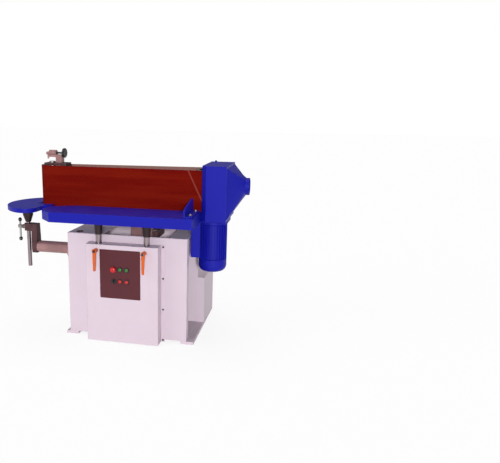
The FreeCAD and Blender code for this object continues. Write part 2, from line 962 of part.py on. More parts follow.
def main_table():
    """Cast table: a flat plate with a deep apron, ribs and two post bosses underneath."""
    table = body()
    cut_front = f"{TABLE_BACK} - idler_cut_depth"
    plan = [
        ("table_left", "table_front + table_corner"),
        ("table_left + table_corner", "table_front"),
        ("table_right", "table_front"),
        ("table_right", TABLE_BACK),
        ("idler_cut_right", TABLE_BACK),
        ("table_left", cut_front),
    ]
    pad(table, "XY_Plane", TABLE_UNDERSIDE, "table_top", plan)
    inside = [
        ("table_left + apron_wall", "table_front + table_corner + 5"),
        ("table_left + table_corner + 5", "table_front + apron_wall"),
        ("table_right - apron_wall", "table_front + apron_wall"),
        ("table_right - apron_wall", f"{TABLE_BACK} - apron_wall"),
        ("idler_cut_right + 3", f"{TABLE_BACK} - apron_wall"),
        ("table_left + apron_wall", f"{cut_front} - 6"),
    ]
    pocket(table, "XY_Plane", TABLE_UNDERSIDE, "table_top - table_plate", inside)
    rib_level = ("table_top - table_plate - rib_height", "table_top - table_plate")
    first_rib = "table_left + 130"
    cross = pad(
        table,
        "XY_Plane",
        *rib_level,
        rectangle(first_rib, f"{first_rib} + table_rib", "table_front + 6", f"{TABLE_BACK} - 6"),
    )
    along(table, cross, "table_right - table_left - 260", 5)
    pad(
        table,
        "XY_Plane",
        *rib_level,
        rectangle(
            "table_left + 6", "table_right - 6", "post_line - table_rib / 2", "post_line + table_rib / 2"
        ),
    )
    bosses = [((across, "post_line"), "post_boss_radius") for across in POST_PLACES.values()]
    pad(table, "XY_Plane", TABLE_UNDERSIDE, "table_top - table_plate", circles=bosses)
    upright = runs_along(Vector(0, 0, 1))
    height = number("table_apron")
    round_off(table, "4", lambda edge: upright(edge) and edge.Length > height - 1)
    top_level = number("table_top")
    round_off(table, "1.5", lambda edge: abs(edge.BoundBox.ZMin - top_level) < 0.01)
    keep("main_table", table)


def lever(side, across):
    """A locking lever: threaded spindle with a round hub, and a flat grip that hangs from it."""
    inner_end = "(post_line - post_radius - flat_clearance)"
    neck = f"{inner_end} - {BOX_FRONT} + 1"
    tip = f"{inner_end} - {BOX_FRONT} + lever_reach"
    section = [
        ("0", "0"),
        ("lever_spindle_radius", "0"),
        ("lever_spindle_radius", neck),
        ("lever_hub_radius", neck),
        ("lever_hub_radius", f"{tip} - 3"),
        ("lever_hub_radius - 3", tip),
        ("0", tip),
    ]
    keep(f"{side}_lever_spindle", turned(section, (across, inner_end, LEVER_HEIGHT), "-Y"))

    grip = body()
    front = f"{BOX_FRONT} - lever_reach + 8"
    back = f"{front} + lever_thickness"
    eye = "lever_hub_radius + lever_eye"
    foot = f"({LEVER_HEIGHT} - lever_length)"
    pad(grip, "XZ_Plane", front, back, circles=[((across, LEVER_HEIGHT), eye)])
    blade = [
        (f"{across} - lever_width / 2 + 2", f"{LEVER_HEIGHT} - 4"),
        (f"{across} - lever_width / 2", foot),
        (f"{across} + lever_width / 2", foot),
        (f"{across} + lever_width / 2 - 2", f"{LEVER_HEIGHT} - 4"),
    ]
    pad(grip, "XZ_Plane", front, back, blade)
    hub_hole = [((across, LEVER_HEIGHT), "lever_hub_radius + running_fit")]
    pocket(grip, "XZ_Plane", front, back, circles=hub_hole)
    through = runs_along(Vector(0, 1, 0))
    foot_level = number(foot)
    round_off(
        grip, "lever_width / 2 - 1", lambda edge: through(edge) and edge.CenterOfMass.z < foot_level + 1
    )
    keep(f"{side}_lever_grip", grip)


def work_stop():
    """Angle plate with rounded upper corners, bolted on the table square to the belt."""
    stop = body()
    right = "stop_left + stop_thickness"
    section = [
        ("stop_left", "table_top"),
        (f"{right} + stop_foot", "table_top"),
        (f"{right} + stop_foot", "table_top + stop_thickness"),
        (right, "table_top + stop_thickness"),
        (right, "table_top + stop_height"),
        ("stop_left", "table_top + stop_height"),
    ]
    pad(stop, "XZ_Plane", "stop_front", "stop_back", section)
    middle = f"{right} + stop_foot / 2 + 2"
    spots = [(middle, "stop_front + stop_bolt_inset"), (middle, "stop_back - stop_bolt_inset")]
    holes = [(spot, "stop_bolt_radius + 0.5") for spot in spots]
    pocket(stop, "XY_Plane", "table_top", "table_top + stop_thickness", circles=holes)
    across = runs_along(Vector(1, 0, 0))
    crest = number("table_top + stop_height")
    round_off(stop, "stop_corner", lambda edge: across(edge) and edge.CenterOfMass.z > crest - 1)
    keep("work_stop", stop)

    head = "stop_bolt_radius * 1.7"
    section = [
        ("0", "0"),
        ("stop_bolt_radius", "0"),
        ("stop_bolt_radius", "stop_thickness"),
        (head, "stop_thickness"),
        (head, "stop_thickness + stop_bolt_radius * 1.5"),
        (f"{head} - 1", "stop_thickness + stop_bolt_radius * 1.5 + 1"),
        ("0", "stop_thickness + stop_bolt_radius * 1.5 + 1"),
    ]
    bolts = [turned(section, (across, line, "table_top")) for across, line in spots]
    keep("stop_bolts", group(*bolts))


def dust_skirt():
    """Folded strip that hangs from the right end of the table."""
    skirt = body()
    left = "table_right - skirt_width"
    plan = [
        (left, "skirt_front"),
        ("table_right", "skirt_front"),
        ("table_right", "skirt_front + skirt_depth"),
        ("table_right - skirt_wall", "skirt_front + skirt_depth"),
        ("table_right - skirt_wall", "skirt_front + skirt_wall"),
        (left, "skirt_front + skirt_wall"),
    ]
    pad(skirt, "XY_Plane", f"{TABLE_UNDERSIDE} - skirt_drop", TABLE_UNDERSIDE, plan)
    keep("dust_skirt", skirt)


# Belt head


def head_frame():
    """Cast frame: a ribbed channel beam inside the belt loop and a plate that carries the motor."""
    frame = body()
    web = f"{BEAM_FRONT} + beam_wall"
    channel = [
        (BEAM_FRONT, "beam_bottom"),
        (BEAM_BACK, "beam_bottom"),
        (BEAM_BACK, "beam_bottom + beam_wall"),
        (web, "beam_bottom + beam_wall"),
        (web, "beam_top - beam_wall"),
        (BEAM_BACK, "beam_top - beam_wall"),
        (BEAM_BACK, "beam_top"),
        (BEAM_FRONT, "beam_top"),
    ]
    pad(frame, "YZ_Plane", "beam_left", "beam_right", channel)
    rib = pad(
        frame,
        "YZ_Plane",
        "beam_left",
        "beam_left + beam_rib",
        rectangle(web, f"{BEAM_BACK} - 8", "beam_bottom + 6", "beam_top - 6"),
    )
    along(frame, rib, "beam_right - beam_left - beam_rib", "beam_rib_count")
    socket_low = "tongue_middle - tongue_height / 2"
    socket_high = "tongue_middle + tongue_height / 2"
    tongue_back = f"{TONGUE_FRONT} + tongue_width"
    pad(
        frame,
        "YZ_Plane",
        "beam_left",
        "beam_left + socket_length",
        rectangle(
            web,
            f"{tongue_back} + socket_wall",
            f"{socket_low} - socket_wall",
            f"{socket_high} + socket_wall",
        ),
    )
    pad(
        frame,
        "XY_Plane",
        HOOD_BOTTOM,
        "beam_bottom",
        rectangle(
            "neck_left",
            "beam_right",
            f"{BEAM_FRONT} + neck_front_gap",
            f"{BEAM_FRONT} + neck_front_gap + neck_depth",
        ),
    )
    pad(
        frame,
        "XY_Plane",
        MOTOR_TOP,
        HOOD_BOTTOM,
        rectangle(
            "neck_left",
            "motor_plate_right",
            f"{DRIVE_LINE} - motor_plate_half",
            f"{DRIVE_LINE} + motor_plate_half",
        ),
    )
    spigot = [(("drive_across", DRIVE_LINE), "motor_spigot_radius + flat_clearance")]
    pocket(frame, "XY_Plane", MOTOR_TOP, HOOD_BOTTOM, circles=spigot)
    slot = rectangle(
        f"{TONGUE_FRONT} - flat_clearance",
        f"{tongue_back} + flat_clearance",
        f"{socket_low} - flat_clearance",
        f"{socket_high} + flat_clearance",
    )
    pocket(frame, "YZ_Plane", "beam_left", "beam_left + socket_length", slot)
    upright = runs_along(Vector(0, 0, 1))
    plate_right = number("motor_plate_right")
    round_off(
        frame,
        "motor_plate_corner",
        lambda edge: upright(edge) and abs(edge.CenterOfMass.x - plate_right) < 0.01,
    )
    keep("head_frame", frame)


def platen():
    """Flat plate that backs the belt's working run, with its ends eased off."""
    plate = body()
    front = f"{BEAM_FRONT} - platen_thickness"
    pad(
        plate,
        "XY_Plane",
        "belt_bottom + platen_lap",
        f"{BELT_TOP} - platen_lap",
        rectangle("platen_left", "platen_right", front, BEAM_FRONT),
    )
    upright = runs_along(Vector(0, 0, 1))
    front_line = number(front)
    round_off(plate, "5", lambda edge: upright(edge) and abs(edge.CenterOfMass.y - front_line) < 0.01)
    keep("platen", plate)


def belt_loop(flat, spare):
    """A loop round both drums: two arcs and the two straight runs tangent to them."""
    ends = []
    for across, line, radius, turn in (
        ("drive_across", DRIVE_LINE, "drive_radius", (-1.5708, 1.6)),
        ("idler_across", IDLER_LINE, "idler_radius", (1.6, 4.7124)),
    ):
        centre = Vector(number(across), number(line), 0)
        bend = Part.Circle(centre, Vector(0, 0, 1), number(f"{radius} + {spare}"))
        arc = flat.addGeometry(Part.ArcOfCircle(bend, *turn), False)
        ends.append((arc, centre, number(f"{radius} + {spare}")))
        hold(flat, "DistanceX", (-1, 1), (arc, 3), across)
        hold(flat, "DistanceY", (-1, 1), (arc, 3), line)
        hold(flat, "Radius", (arc,), (), f"{radius} + {spare}")
    (drive, drive_centre, drive_reach), (idler, idler_centre, idler_reach) = ends
    down = Vector(0, -1, 0)
    front = flat.addGeometry(
        Part.LineSegment(idler_centre + down * idler_reach, drive_centre + down * drive_reach), False
    )
    back = flat.addGeometry(
        Part.LineSegment(drive_centre - down * drive_reach, idler_centre - down * idler_reach), False
    )
    for first, second in (((front, 2), (drive, 1)), ((drive, 2), (back, 1)), ((back, 2), (idler, 1))):
        flat.addConstraint(Sketcher.Constraint("Tangent", *first, *second))
    flat.addConstraint(Sketcher.Constraint("Tangent", idler, 2, front, 1))


def abrasive_belt():
    """The endless belt as it runs, a thin loop just clear of both drums."""
    belt = body()
    flat = sketch(belt, "XY_Plane", "belt_bottom")
    belt_loop(flat, "belt_slack + belt_thickness")
    belt_loop(flat, "belt_slack")
    made = belt.newObject("PartDesign::Pad", "Pad")
    made.Profile = flat
    bind(made, "Length", "belt_width")
    keep("abrasive_belt", belt)


def drive_drum():
    """Cast drive drum with a windowed web, its rubber cover and the motor shaft through it."""
    length = f"({DRUM_TOP} - {DRUM_BOTTOM})"
    metal = "drive_radius - drive_rubber"
    inner = f"{metal} - drive_rim"
    web_low = f"({length} - drive_web) / 2"
    web_high = f"({length} + drive_web) / 2"
    hub_low = f"({length} - drive_hub_height) / 2"
    hub_high = f"({length} + drive_hub_height) / 2"
    shaft = "motor_shaft_radius + running_fit"
    section = [
        (shaft, hub_low),
        ("drive_hub_radius", hub_low),
        ("drive_hub_radius", web_low),
        (inner, web_low),
        (inner, "0"),
        (metal, "0"),
        (metal, length),
        (inner, length),
        (inner, web_high),
        ("drive_hub_radius", web_high),
        ("drive_hub_radius", hub_high),
        (shaft, hub_high),
    ]
    start = ("drive_across", DRIVE_LINE, DRUM_BOTTOM)
    drum = turned(section, start)
    ring = f"(drive_hub_radius + {inner}) / 2"
    window = pocket(drum, "XY_Plane", web_low, web_high, circles=[((ring, "0"), "drive_window_radius")])
    around(drum, window, 6)
    keep("drive_drum", drum)

    cover = [(metal, "0"), ("drive_radius - 1", "0"), ("drive_radius", "2")]
    cover += [("drive_radius", f"{length} - 2"), ("drive_radius - 1", length), (metal, length)]
    keep("drum_cover", turned(cover, start))

    rise = f"{DRUM_BOTTOM} + {hub_high} + 22 - shaft_bottom"
    nut = f"{DRUM_BOTTOM} + {hub_high} - shaft_bottom"
    axle = [
        ("0", "0"),
        ("motor_shaft_radius", "0"),
        ("motor_shaft_radius", nut),
        ("motor_shaft_radius + 8", nut),
        ("motor_shaft_radius + 8", f"{nut} + 14"),
        ("motor_shaft_radius - 4", f"{nut} + 14"),
        ("motor_shaft_radius - 4", rise),
        ("0", rise),
    ]
    keep("motor_shaft", turned(axle, ("drive_across", DRIVE_LINE, "shaft_bottom")))


def idler():
    """Crowned idler drum on an axle that hangs from the carriage's arm."""
    length = f"({DRUM_TOP} - {DRUM_BOTTOM})"
    side = "idler_radius - idler_crown"
    bore = "idler_axle_radius + running_fit"
    inner = "idler_radius - idler_rim"
    section = [
        (bore, "0"),
        ("idler_hub_radius", "0"),
        ("idler_hub_radius", "idler_hub_height"),
        (inner, "idler_hub_height + 8"),
        (inner, "0"),
        (side, "0"),
        ("idler_radius", f"{length} * 0.35"),
        ("idler_radius", f"{length} * 0.65"),
        (side, length),
        (inner, length),
        (inner, f"{length} - idler_hub_height - 8"),
        ("idler_hub_radius", f"{length} - idler_hub_height"),
        ("idler_hub_radius", length),
        (bore, length),
    ]
    hollow = [
        (bore + " + 3", "idler_hub_height + 4"),
        ("idler_hub_radius", "idler_hub_height + 12"),
        (inner, "idler_hub_height + 20"),
        (inner, f"{length} - idler_hub_height - 20"),
        ("idler_hub_radius", f"{length} - idler_hub_height - 12"),
        (bore + " + 3", f"{length} - idler_hub_height - 4"),
    ]
    keep("idler_drum", turned(section, ("idler_across", IDLER_LINE, DRUM_BOTTOM), hollow=hollow))

    foot = f"({DRUM_BOTTOM} + 6)"
    arm_level = f"{ARM_BOTTOM} - {foot}"
    top = f"{ARM_TOP} - {foot}"
    axle = [
        ("0", "0"),
        ("idler_axle_radius", "0"),
        ("idler_axle_radius", top),
        ("idler_axle_radius + 7", top),
        ("idler_axle_radius + 7", f"{top} + 8"),
        ("0", f"{top} + 8"),
    ]
    keep("idler_axle", turned(axle, ("idler_across", IDLER_LINE, foot)))


def idler_carriage():
    """Casting that slides in the head frame and reaches over the idler."""
    slab = block(
        (CARRIAGE_LEFT, CARRIAGE_RIGHT), (CARRIAGE_FRONT, CARRIAGE_BACK), ("beam_bottom", ARM_BOTTOM)
    )
    arm = block(
        ("idler_across - arm_overhang", CARRIAGE_RIGHT),
        (CARRIAGE_FRONT, CARRIAGE_BACK),
        (ARM_BOTTOM, ARM_TOP),
    )
    tongue = block(
        (CARRIAGE_RIGHT, f"{CARRIAGE_RIGHT} + tongue_length"),
        (TONGUE_FRONT, f"{TONGUE_FRONT} + tongue_width"),
        ("tongue_middle - tongue_height / 2", "tongue_middle + tongue_height / 2"),
    )
    gusset_low = f"{ARM_BOTTOM} - 12"
    seat = block(
        ("idler_across + idler_radius + 4", CARRIAGE_LEFT),
        (CARRIAGE_FRONT, CARRIAGE_BACK),
        (gusset_low, ARM_BOTTOM),
    )
    hole = rod(
        "Z",
        ("idler_across", IDLER_LINE, f"{ARM_BOTTOM} - 1"),
        "carriage_arm + 2",
        "idler_axle_radius + running_fit",
    )
    keep("idler_carriage", cut(fuse(slab, arm, tongue, seat), hole))


def tracking_screw():
    """Bracket with a round barrel and a lock stud, and the fluted knob on its screw."""
    half = "tracking_block_depth / 2"
    depth = (f"{IDLER_LINE} - {half}", f"{IDLER_LINE} + {half}")
    barrel_right = "tracking_barrel_left + tracking_barrel_length"
    pedestal = block(
        ("tracking_block_left", "tracking_block_right"), depth, (ARM_TOP, f"{TRACKING_LINE} - 10")
    )
    cradle = block(
        ("tracking_barrel_left + 3", "tracking_block_left + 1"),
        depth,
        (f"{TRACKING_LINE} - tracking_barrel_radius - 8", f"{TRACKING_LINE} - 10"),
    )
    barrel = rod(
        "X",
        ("tracking_barrel_left", IDLER_LINE, TRACKING_LINE),
        "tracking_barrel_length",
        "tracking_barrel_radius",
    )
    nose = rod(
        "X",
        ("tracking_barrel_left - tracking_stud_gap - 10", IDLER_LINE, f"{TRACKING_LINE} - 4"),
        "tracking_stud_gap + 12",
        "tracking_stud_radius + 3",
    )
    stud = rod(
        "Z",
        ("tracking_barrel_left - tracking_stud_gap", IDLER_LINE, f"{TRACKING_LINE} - 36"),
        "42",
        "tracking_stud_radius",
    )
    way = rod(
        "X",
        ("tracking_barrel_left + 10", IDLER_LINE, TRACKING_LINE),
        "tracking_barrel_length + 60",
        "tracking_screw_radius + running_fit",
    )
    keep("tracking_bracket", cut(fuse(pedestal, cradle, barrel, nose, stud), way))

    screw_length = f"knob_left - ({barrel_right}) + 30"
    section = [
        ("0", f"-({screw_length})"),
        ("tracking_screw_radius", f"-({screw_length})"),
        ("tracking_screw_radius", "-4"),
        ("tracking_screw_radius + 7", "-4"),
        ("tracking_screw_radius + 7", "0"),
        ("knob_radius - 3", "0"),
        ("knob_radius", "3"),
        ("knob_radius", "knob_thickness - 3"),
        ("knob_radius - 3", "knob_thickness"),
        ("0", "knob_thickness"),
    ]
    knob = turned(section, ("knob_left", IDLER_LINE, TRACKING_LINE), "X")
    flute = pocket(
        knob, "XY_Plane", "0", "knob_thickness", circles=[(("knob_radius + 2", "0"), "knob_flute_radius")]
    )
    around(knob, flute, "knob_flutes")
    keep("tracking_knob", knob)


def slide():
    """Column under the head frame that rides on two guide bars, with its bushes."""
    column = body()
    half = "column_width / 2"
    column_back = "column_front + column_thickness"
    pad(
        column,
        "XY_Plane",
        "column_bottom",
        "beam_bottom",
        rectangle(f"{BAR_MIDDLE} - {half}", f"{BAR_MIDDLE} + {half}", "column_front", column_back),
    )
    sleeve = "(bar_radius + bush_wall + sleeve_wall)"
    pad(
        column,
        "XY_Plane",
        "sleeve_bottom",
        "sleeve_top",
        rectangle(f"bar_left - {sleeve}", f"{BAR_RIGHT} + {sleeve}", f"{column_back} - 1", "bar_line"),
    )
    spots = [("bar_left", "bar_line"), (BAR_RIGHT, "bar_line")]
    for spot in spots:
        pad(column, "XY_Plane", "sleeve_bottom", "sleeve_top", circles=[(spot, sleeve)])
    bores = [(spot, "bar_radius + bush_wall") for spot in spots]
    pocket(column, "XY_Plane", "sleeve_bottom", "sleeve_top", circles=bores)
    reach = "eccentric_pin_radius + head_stroke / 2 + 0.5"
    window = rectangle(
        f"{BAR_MIDDLE} - ({reach})",
        f"{BAR_MIDDLE} + {reach}",
        f"eccentric_height - head_stroke - ({reach})",
        f"eccentric_height + {reach}",
    )
    pocket(column, "XZ_Plane", "column_front", column_back, window)
    keep("slide_block", column)

    ring = [
        ("bar_radius + running_fit", "0"),
        ("bar_radius + bush_wall", "0"),
        ("bar_radius + bush_wall", "bush_length"),
        ("bar_radius + running_fit", "bush_length"),
    ]
    levels = ("sleeve_bottom", "sleeve_top - bush_length")
    bushes = [turned(ring, (*spot, level)) for spot in spots for level in levels]
    keep("slide_bushes", group(*bushes))

    length = "bar_top - bar_bottom"
    bar = [
        ("0", "0"),
        ("bar_radius - 1", "0"),
        ("bar_radius", "1"),
        ("bar_radius", f"{length} - 1"),
        ("bar_radius - 1", length),
        ("0", length),
    ]
    keep("guide_bars", group(*[turned(bar, (*spot, "bar_bottom")) for spot in spots]))


def guide_bracket(label, bottom):
    """Casting on the cabinet's back that holds one end of both guide bars."""
    bracket = body()
    back = f"{CABINET_BACK} - cabinet_wall"
    reach = "(bar_radius + bracket_overhang / 2)"
    top = f"{bottom} + bracket_height"
    pad(
        bracket,
        "XY_Plane",
        bottom,
        top,
        rectangle(
            "bar_left - bracket_overhang", f"{BAR_RIGHT} + bracket_overhang", f"bar_line - {reach}", back
        ),
    )
    hollow = rectangle(
        "bar_left - bracket_overhang + 10",
        f"{BAR_RIGHT} + bracket_overhang - 10",
        "bar_line + 30",
        f"{back} - 10",
    )
    pocket(bracket, "XY_Plane", f"{bottom} + 10", top, hollow)
    spots = [("bar_left", "bar_line"), (BAR_RIGHT, "bar_line")]
    pocket(bracket, "XY_Plane", bottom, top, circles=[(spot, "bar_radius + running_fit") for spot in spots])
    upright = runs_along(Vector(0, 0, 1))
    front_line = number(f"bar_line - {reach}")
    round_off(bracket, "18", lambda edge: upright(edge) and abs(edge.CenterOfMass.y - front_line) < 0.01)
    keep(label, bracket)


def oscillation_drive():
    """Gearmotor on a foot, and the eccentric whose pin works in the slide's window."""
    half = "gearbox_width / 2"
    front = f"{GEARBOX_BACK} - gearbox_depth"
    sides = (f"{BAR_MIDDLE} - {half}", f"{BAR_MIDDLE} + {half}")
    floor_level = "foot_rail_height + cabinet_wall"
    gearbox = block(sides, (front, GEARBOX_BACK), ("gearbox_bottom", "gearbox_top"))
    stand = block(
        (f"{BAR_MIDDLE} - 24", f"{BAR_MIDDLE} + 24"),
        (f"{front} + 12", f"{GEARBOX_BACK} - 12"),
        (floor_level, "gearbox_bottom"),
    )
    foot = block(
        (f"{BAR_MIDDLE} - 60", f"{BAR_MIDDLE} + 60"),
        (front, GEARBOX_BACK),
        (floor_level, f"{floor_level} + gearmotor_foot"),
    )
    middle = f"{GEARBOX_BACK} - gearbox_depth / 2"
    barrel = rod("X", (sides[1], middle, "eccentric_height"), "gearmotor_length", "gearmotor_radius - 5")
    bell = rod("X", (sides[1], middle, "eccentric_height"), "14", "gearmotor_radius - 2")
    fan_end = rod(
        "X", (f"{sides[1]} + gearmotor_length - 34", middle, "eccentric_height"), "34", "gearmotor_radius - 4"
    )
    bore = rod(
        "Y",
        (BAR_MIDDLE, f"{GEARBOX_BACK} - 36", "eccentric_height"),
        "40",
        "eccentric_shaft_radius + running_fit",
    )
    keep("gearmotor", cut(fuse(gearbox, stand, foot, barrel, bell, fan_end), bore))

    disc = rod(
        "Y",
        (BAR_MIDDLE, "eccentric_back - eccentric_thickness", "eccentric_height"),
        "eccentric_thickness",
        "eccentric_radius",
    )
    stub = rod("Y", (BAR_MIDDLE, f"{GEARBOX_BACK} - 34", "eccentric_height"), "38", "eccentric_shaft_radius")
    pin = rod(
        "Y",
        (BAR_MIDDLE, "eccentric_back - 1", "eccentric_height - head_stroke / 2"),
        "column_front + column_thickness - eccentric_back + 4",
        "eccentric_pin_radius",
    )
    keep("eccentric", fuse(disc, stub, pin))


def motor():
    """Flanged motor with upright cooling fins, its fan cowl and terminal box."""
    length = f"{MOTOR_TOP} - motor_shoulder"
    flange = f"{length} - motor_flange_height"
    shaft = "motor_shaft_radius + 0.3"
    section = [
        (shaft, "8"),
        ("0", "8"),
        ("0", "-cowl_lap"),
        ("motor_radius", "-cowl_lap"),
        ("motor_radius", "0"),
        ("motor_core_radius", "6"),
        ("motor_core_radius", f"{flange} - 6"),
        ("motor_flange_radius", flange),
        ("motor_flange_radius", length),
        ("motor_spigot_radius", length),
        ("motor_spigot_radius", f"{length} + 8"),
        (shaft, f"{length} + 8"),
    ]
    start = ("drive_across", DRIVE_LINE, "motor_shoulder")
    housing = turned(section, start)
    half = "motor_fin_thickness / 2"
    fin = pad(
        housing,
        "XY_Plane",
        "3",
        f"{flange} - 3",
        rectangle("motor_core_radius - 2", "motor_radius", f"-{half}", half),
    )
    around(housing, fin, "motor_fins")
    pad(
        housing,
        "XZ_Plane",
        "motor_core_radius - 12",
        "motor_radius + 3",
        rectangle(
            "-terminal_width / 2 + 6",
            "terminal_width / 2 - 6",
            "terminal_bottom - motor_shoulder + 6",
            "terminal_bottom + terminal_height - motor_shoulder - 6",
        ),
    )
    keep("motor_housing", housing)

    rim = "motor_shoulder - cowl_lap - motor_bottom"
    outside = "motor_radius"
    dome = [
        ("0", "0"),
        (f"{outside} - 22", "0"),
        (f"{outside} - 8", "5"),
        (outside, "18"),
        (outside, rim),
        (f"{outside} - cowl_wall", rim),
        (f"{outside} - cowl_wall", "19"),
        (f"{outside} - 9", "7"),
        (f"{outside} - 23", "cowl_wall"),
        ("0", "cowl_wall"),
    ]
    cowl = turned(dome, ("drive_across", DRIVE_LINE, "motor_bottom"))
    slot = pocket(
        cowl,
        "XY_Plane",
        "-1",
        "cowl_wall + 1",
        rectangle("18", f"{outside} - 26", "-cowl_slot_width / 2", "cowl_slot_width / 2"),
    )
    around(cowl, slot, "cowl_slots")
    keep("fan_cowl", cowl)

    box = body()
    seat = f"{DRIVE_LINE} + motor_radius + 3"
    pad(
        box,
        "XZ_Plane",
        seat,
        f"{seat} + terminal_depth",
        rectangle(
            "drive_across - terminal_width / 2",
            "drive_across + terminal_width / 2",
            "terminal_bottom",
            "terminal_bottom + terminal_height",
        ),
    )
    round_off(box, "terminal_corner", runs_along(Vector(0, 1, 0)))
    outer = number(f"{seat} + terminal_depth")
    round_off(box, "3", lambda edge: abs(edge.BoundBox.YMin - outer) < 0.01)
    gland = rod(
        "X",
        (
            "drive_across - terminal_width / 2 - 16",
            f"{seat} + terminal_depth / 2",
            "terminal_bottom + terminal_height / 2",
        ),
        "20",
        "11",
    )
    keep("terminal_box", fuse(box, gland))


def dust_hood():
    """Sheet hood over the drive drum, open to the belt on the left and to the funnel on the right."""
    hood = body()
    bevel_back = "hood_front + hood_bevel"
    plan = [
        ("hood_left", bevel_back),
        ("hood_left + hood_bevel", "hood_front"),
        ("hood_right", "hood_front"),
        ("hood_right", "hood_back"),
        ("hood_left", "hood_back"),
    ]
    pad(hood, "XY_Plane", HOOD_BOTTOM, "hood_top", plan)
    inside = [
        ("hood_left + hood_wall", f"{bevel_back} + hood_wall * 0.41"),
        ("hood_left + hood_bevel + hood_wall * 0.41", "hood_front + hood_wall"),
        ("hood_right - hood_wall", "hood_front + hood_wall"),
        ("hood_right - hood_wall", "hood_back - hood_wall"),
        ("hood_left + hood_wall", "hood_back - hood_wall"),
    ]
    pocket(hood, "XY_Plane", f"{HOOD_BOTTOM} + hood_wall", "hood_top - hood_wall", inside)
    mouth = rectangle(
        "belt_front - mouth_margin",
        f"{DRIVE_LINE} + drive_radius + mouth_margin",
        "belt_bottom - mouth_margin",
        f"{BELT_TOP} + mouth_margin",
    )
    pocket(hood, "YZ_Plane", "hood_left - 1", "hood_left + hood_wall", mouth)
    outlet = rectangle(
        "hood_front + funnel_rim + hood_wall",
        "hood_back - funnel_rim - hood_wall",
        f"{HOOD_BOTTOM} + funnel_rim + hood_wall",
        "hood_top - funnel_rim - hood_wall",
    )
    pocket(hood, "YZ_Plane", "hood_right - hood_wall", "hood_right", outlet)
    shaft_way = [(("drive_across", DRIVE_LINE), "motor_spigot_radius + 4")]
    pocket(hood, "XY_Plane", HOOD_BOTTOM, f"{HOOD_BOTTOM} + hood_wall", circles=shaft_way)
    upright = runs_along(Vector(0, 0, 1))
    height = number(f"hood_top - {HOOD_BOTTOM}")
    round_off(hood, "2.5", lambda edge: upright(edge) and edge.Length > height - 1)
    keep("dust_hood", hood)


def four_sided(across, front, back, low, high):
    """A rectangle facing X, as a wire that starts at its lower front corner."""
    corners = [Vector(across, front, low), Vector(across, back, low), Vector(across, back, high)]
    corners.append(Vector(across, front, high))
    sides = [(0, 1), (1, 2), (2, 3), (3, 0)]
    return Part.Wire([Part.LineSegment(corners[one], corners[two]).toShape() for one, two in sides])


def round_section(across, centre, radius):
    """A circle facing X as four arcs, whose joints face the rectangle's corners."""
    quarter = [225, 315, 45, 135, 225]
    edges = []
    for start in quarter[:-1]:
        spots = []
        for angle in (start, start + 45, start + 90):
            turn = Rotation(Vector(1, 0, 0), angle)
            spots.append(Vector(across, *centre) + turn.multVec(Vector(0, radius, 0)))
        edges.append(Part.Arc(*spots).toShape())
    return Part.Wire(edges)


def dust_funnel():
    """Sheet transition from the hood's rectangular side to the round dust port."""
    left = number("hood_right")
    flare = number("hood_right + funnel_length")
    tip = number("hood_right + funnel_length + port_length")
    rim = number("funnel_rim")
    front, back = number("hood_front") + rim, number("hood_back") - rim
    low, high = number(HOOD_BOTTOM) + rim, number("hood_top") - rim
    wall = number("hood_wall")
    radius = number("port_radius")
    centre = ((front + back) / 2, number("port_height"))
    outer = Part.makeLoft(
        [four_sided(left, front, back, low, high), round_section(flare, centre, radius)], True, True
    )
    inner = Part.makeLoft(
        [
            four_sided(left, front + wall, back - wall, low + wall, high - wall),
            round_section(flare, centre, radius - wall),
        ],
        True,
        True,
    )
    axis = Vector(1, 0, 0)
    pipe = Part.makeCylinder(radius, tip - flare, Vector(flare, *centre), axis)
    bore = Part.makeCylinder(radius - wall, tip - flare, Vector(flare, *centre), axis)
    made = doc.addObject("Part::Feature", "Funnel")
    made.Shape = outer.fuse(pipe).cut(inner.fuse(bore)).removeSplitter()
    made.Placement = Placement()
    keep("dust_funnel", made)


# End table and its clamp


def end_table():
    """Half round cast table cut out for the idler end, with a rim and a boss for its post."""
    centre = ("idler_across", "end_table_back")
    disc = body()
    pad(disc, "XY_Plane", END_TABLE_UNDERSIDE, "end_table_top", circles=[(centre, "end_table_radius")])
    clearance_front = "belt_front - end_table_gap"
    right_end = "idler_across + end_table_radius + 10"
    nose_joint = "end_table_nose_front - end_table_nose_depth"
    notch_left = "(idler_across - idler_radius - belt_slack - belt_thickness - end_table_gap)"
    kept_side = [
        (notch_left, "end_table_back + end_table_radius + 10"),
        (notch_left, clearance_front),
        ("end_table_nose_right", clearance_front),
        ("end_table_nose_right", "end_table_nose_front"),
        ("end_table_side", nose_joint),
        ("end_table_side", "end_table_back - end_table_radius - 10"),
        (right_end, "end_table_back - end_table_radius - 10"),
        (right_end, "end_table_back + end_table_radius + 10"),
    ]
    pocket(disc, "XY_Plane", END_TABLE_UNDERSIDE, "end_table_top", kept_side)
    hollow_top = "end_table_top - end_table_plate"
    reach = "end_table_radius - end_table_rim"
    bowl = rod(
        "Z", (*centre, f"{END_TABLE_UNDERSIDE} - 1"), f"{hollow_top} - {END_TABLE_UNDERSIDE} + 1", reach
    )
    keep_right = block(
        ("end_table_side - end_table_rim", right_end),
        ("end_table_back - end_table_radius", "end_table_back + end_table_radius"),
        (f"{END_TABLE_UNDERSIDE} - 2", "end_table_top"),
    )
    keep_notch = block(
        (f"{notch_left} - end_table_rim", right_end),
        (f"{clearance_front} - end_table_rim", "end_table_back + end_table_radius"),
        (f"{END_TABLE_UNDERSIDE} - 2", "end_table_top"),
    )
    boss = rod(
        "Z",
        ("end_post_across", "arm_line", f"{END_TABLE_UNDERSIDE} - 2"),
        "end_table_thickness",
        "end_flange_radius + 3",
    )
    keep("end_table", cut(disc, cut(bowl, keep_right, keep_notch, boss)))


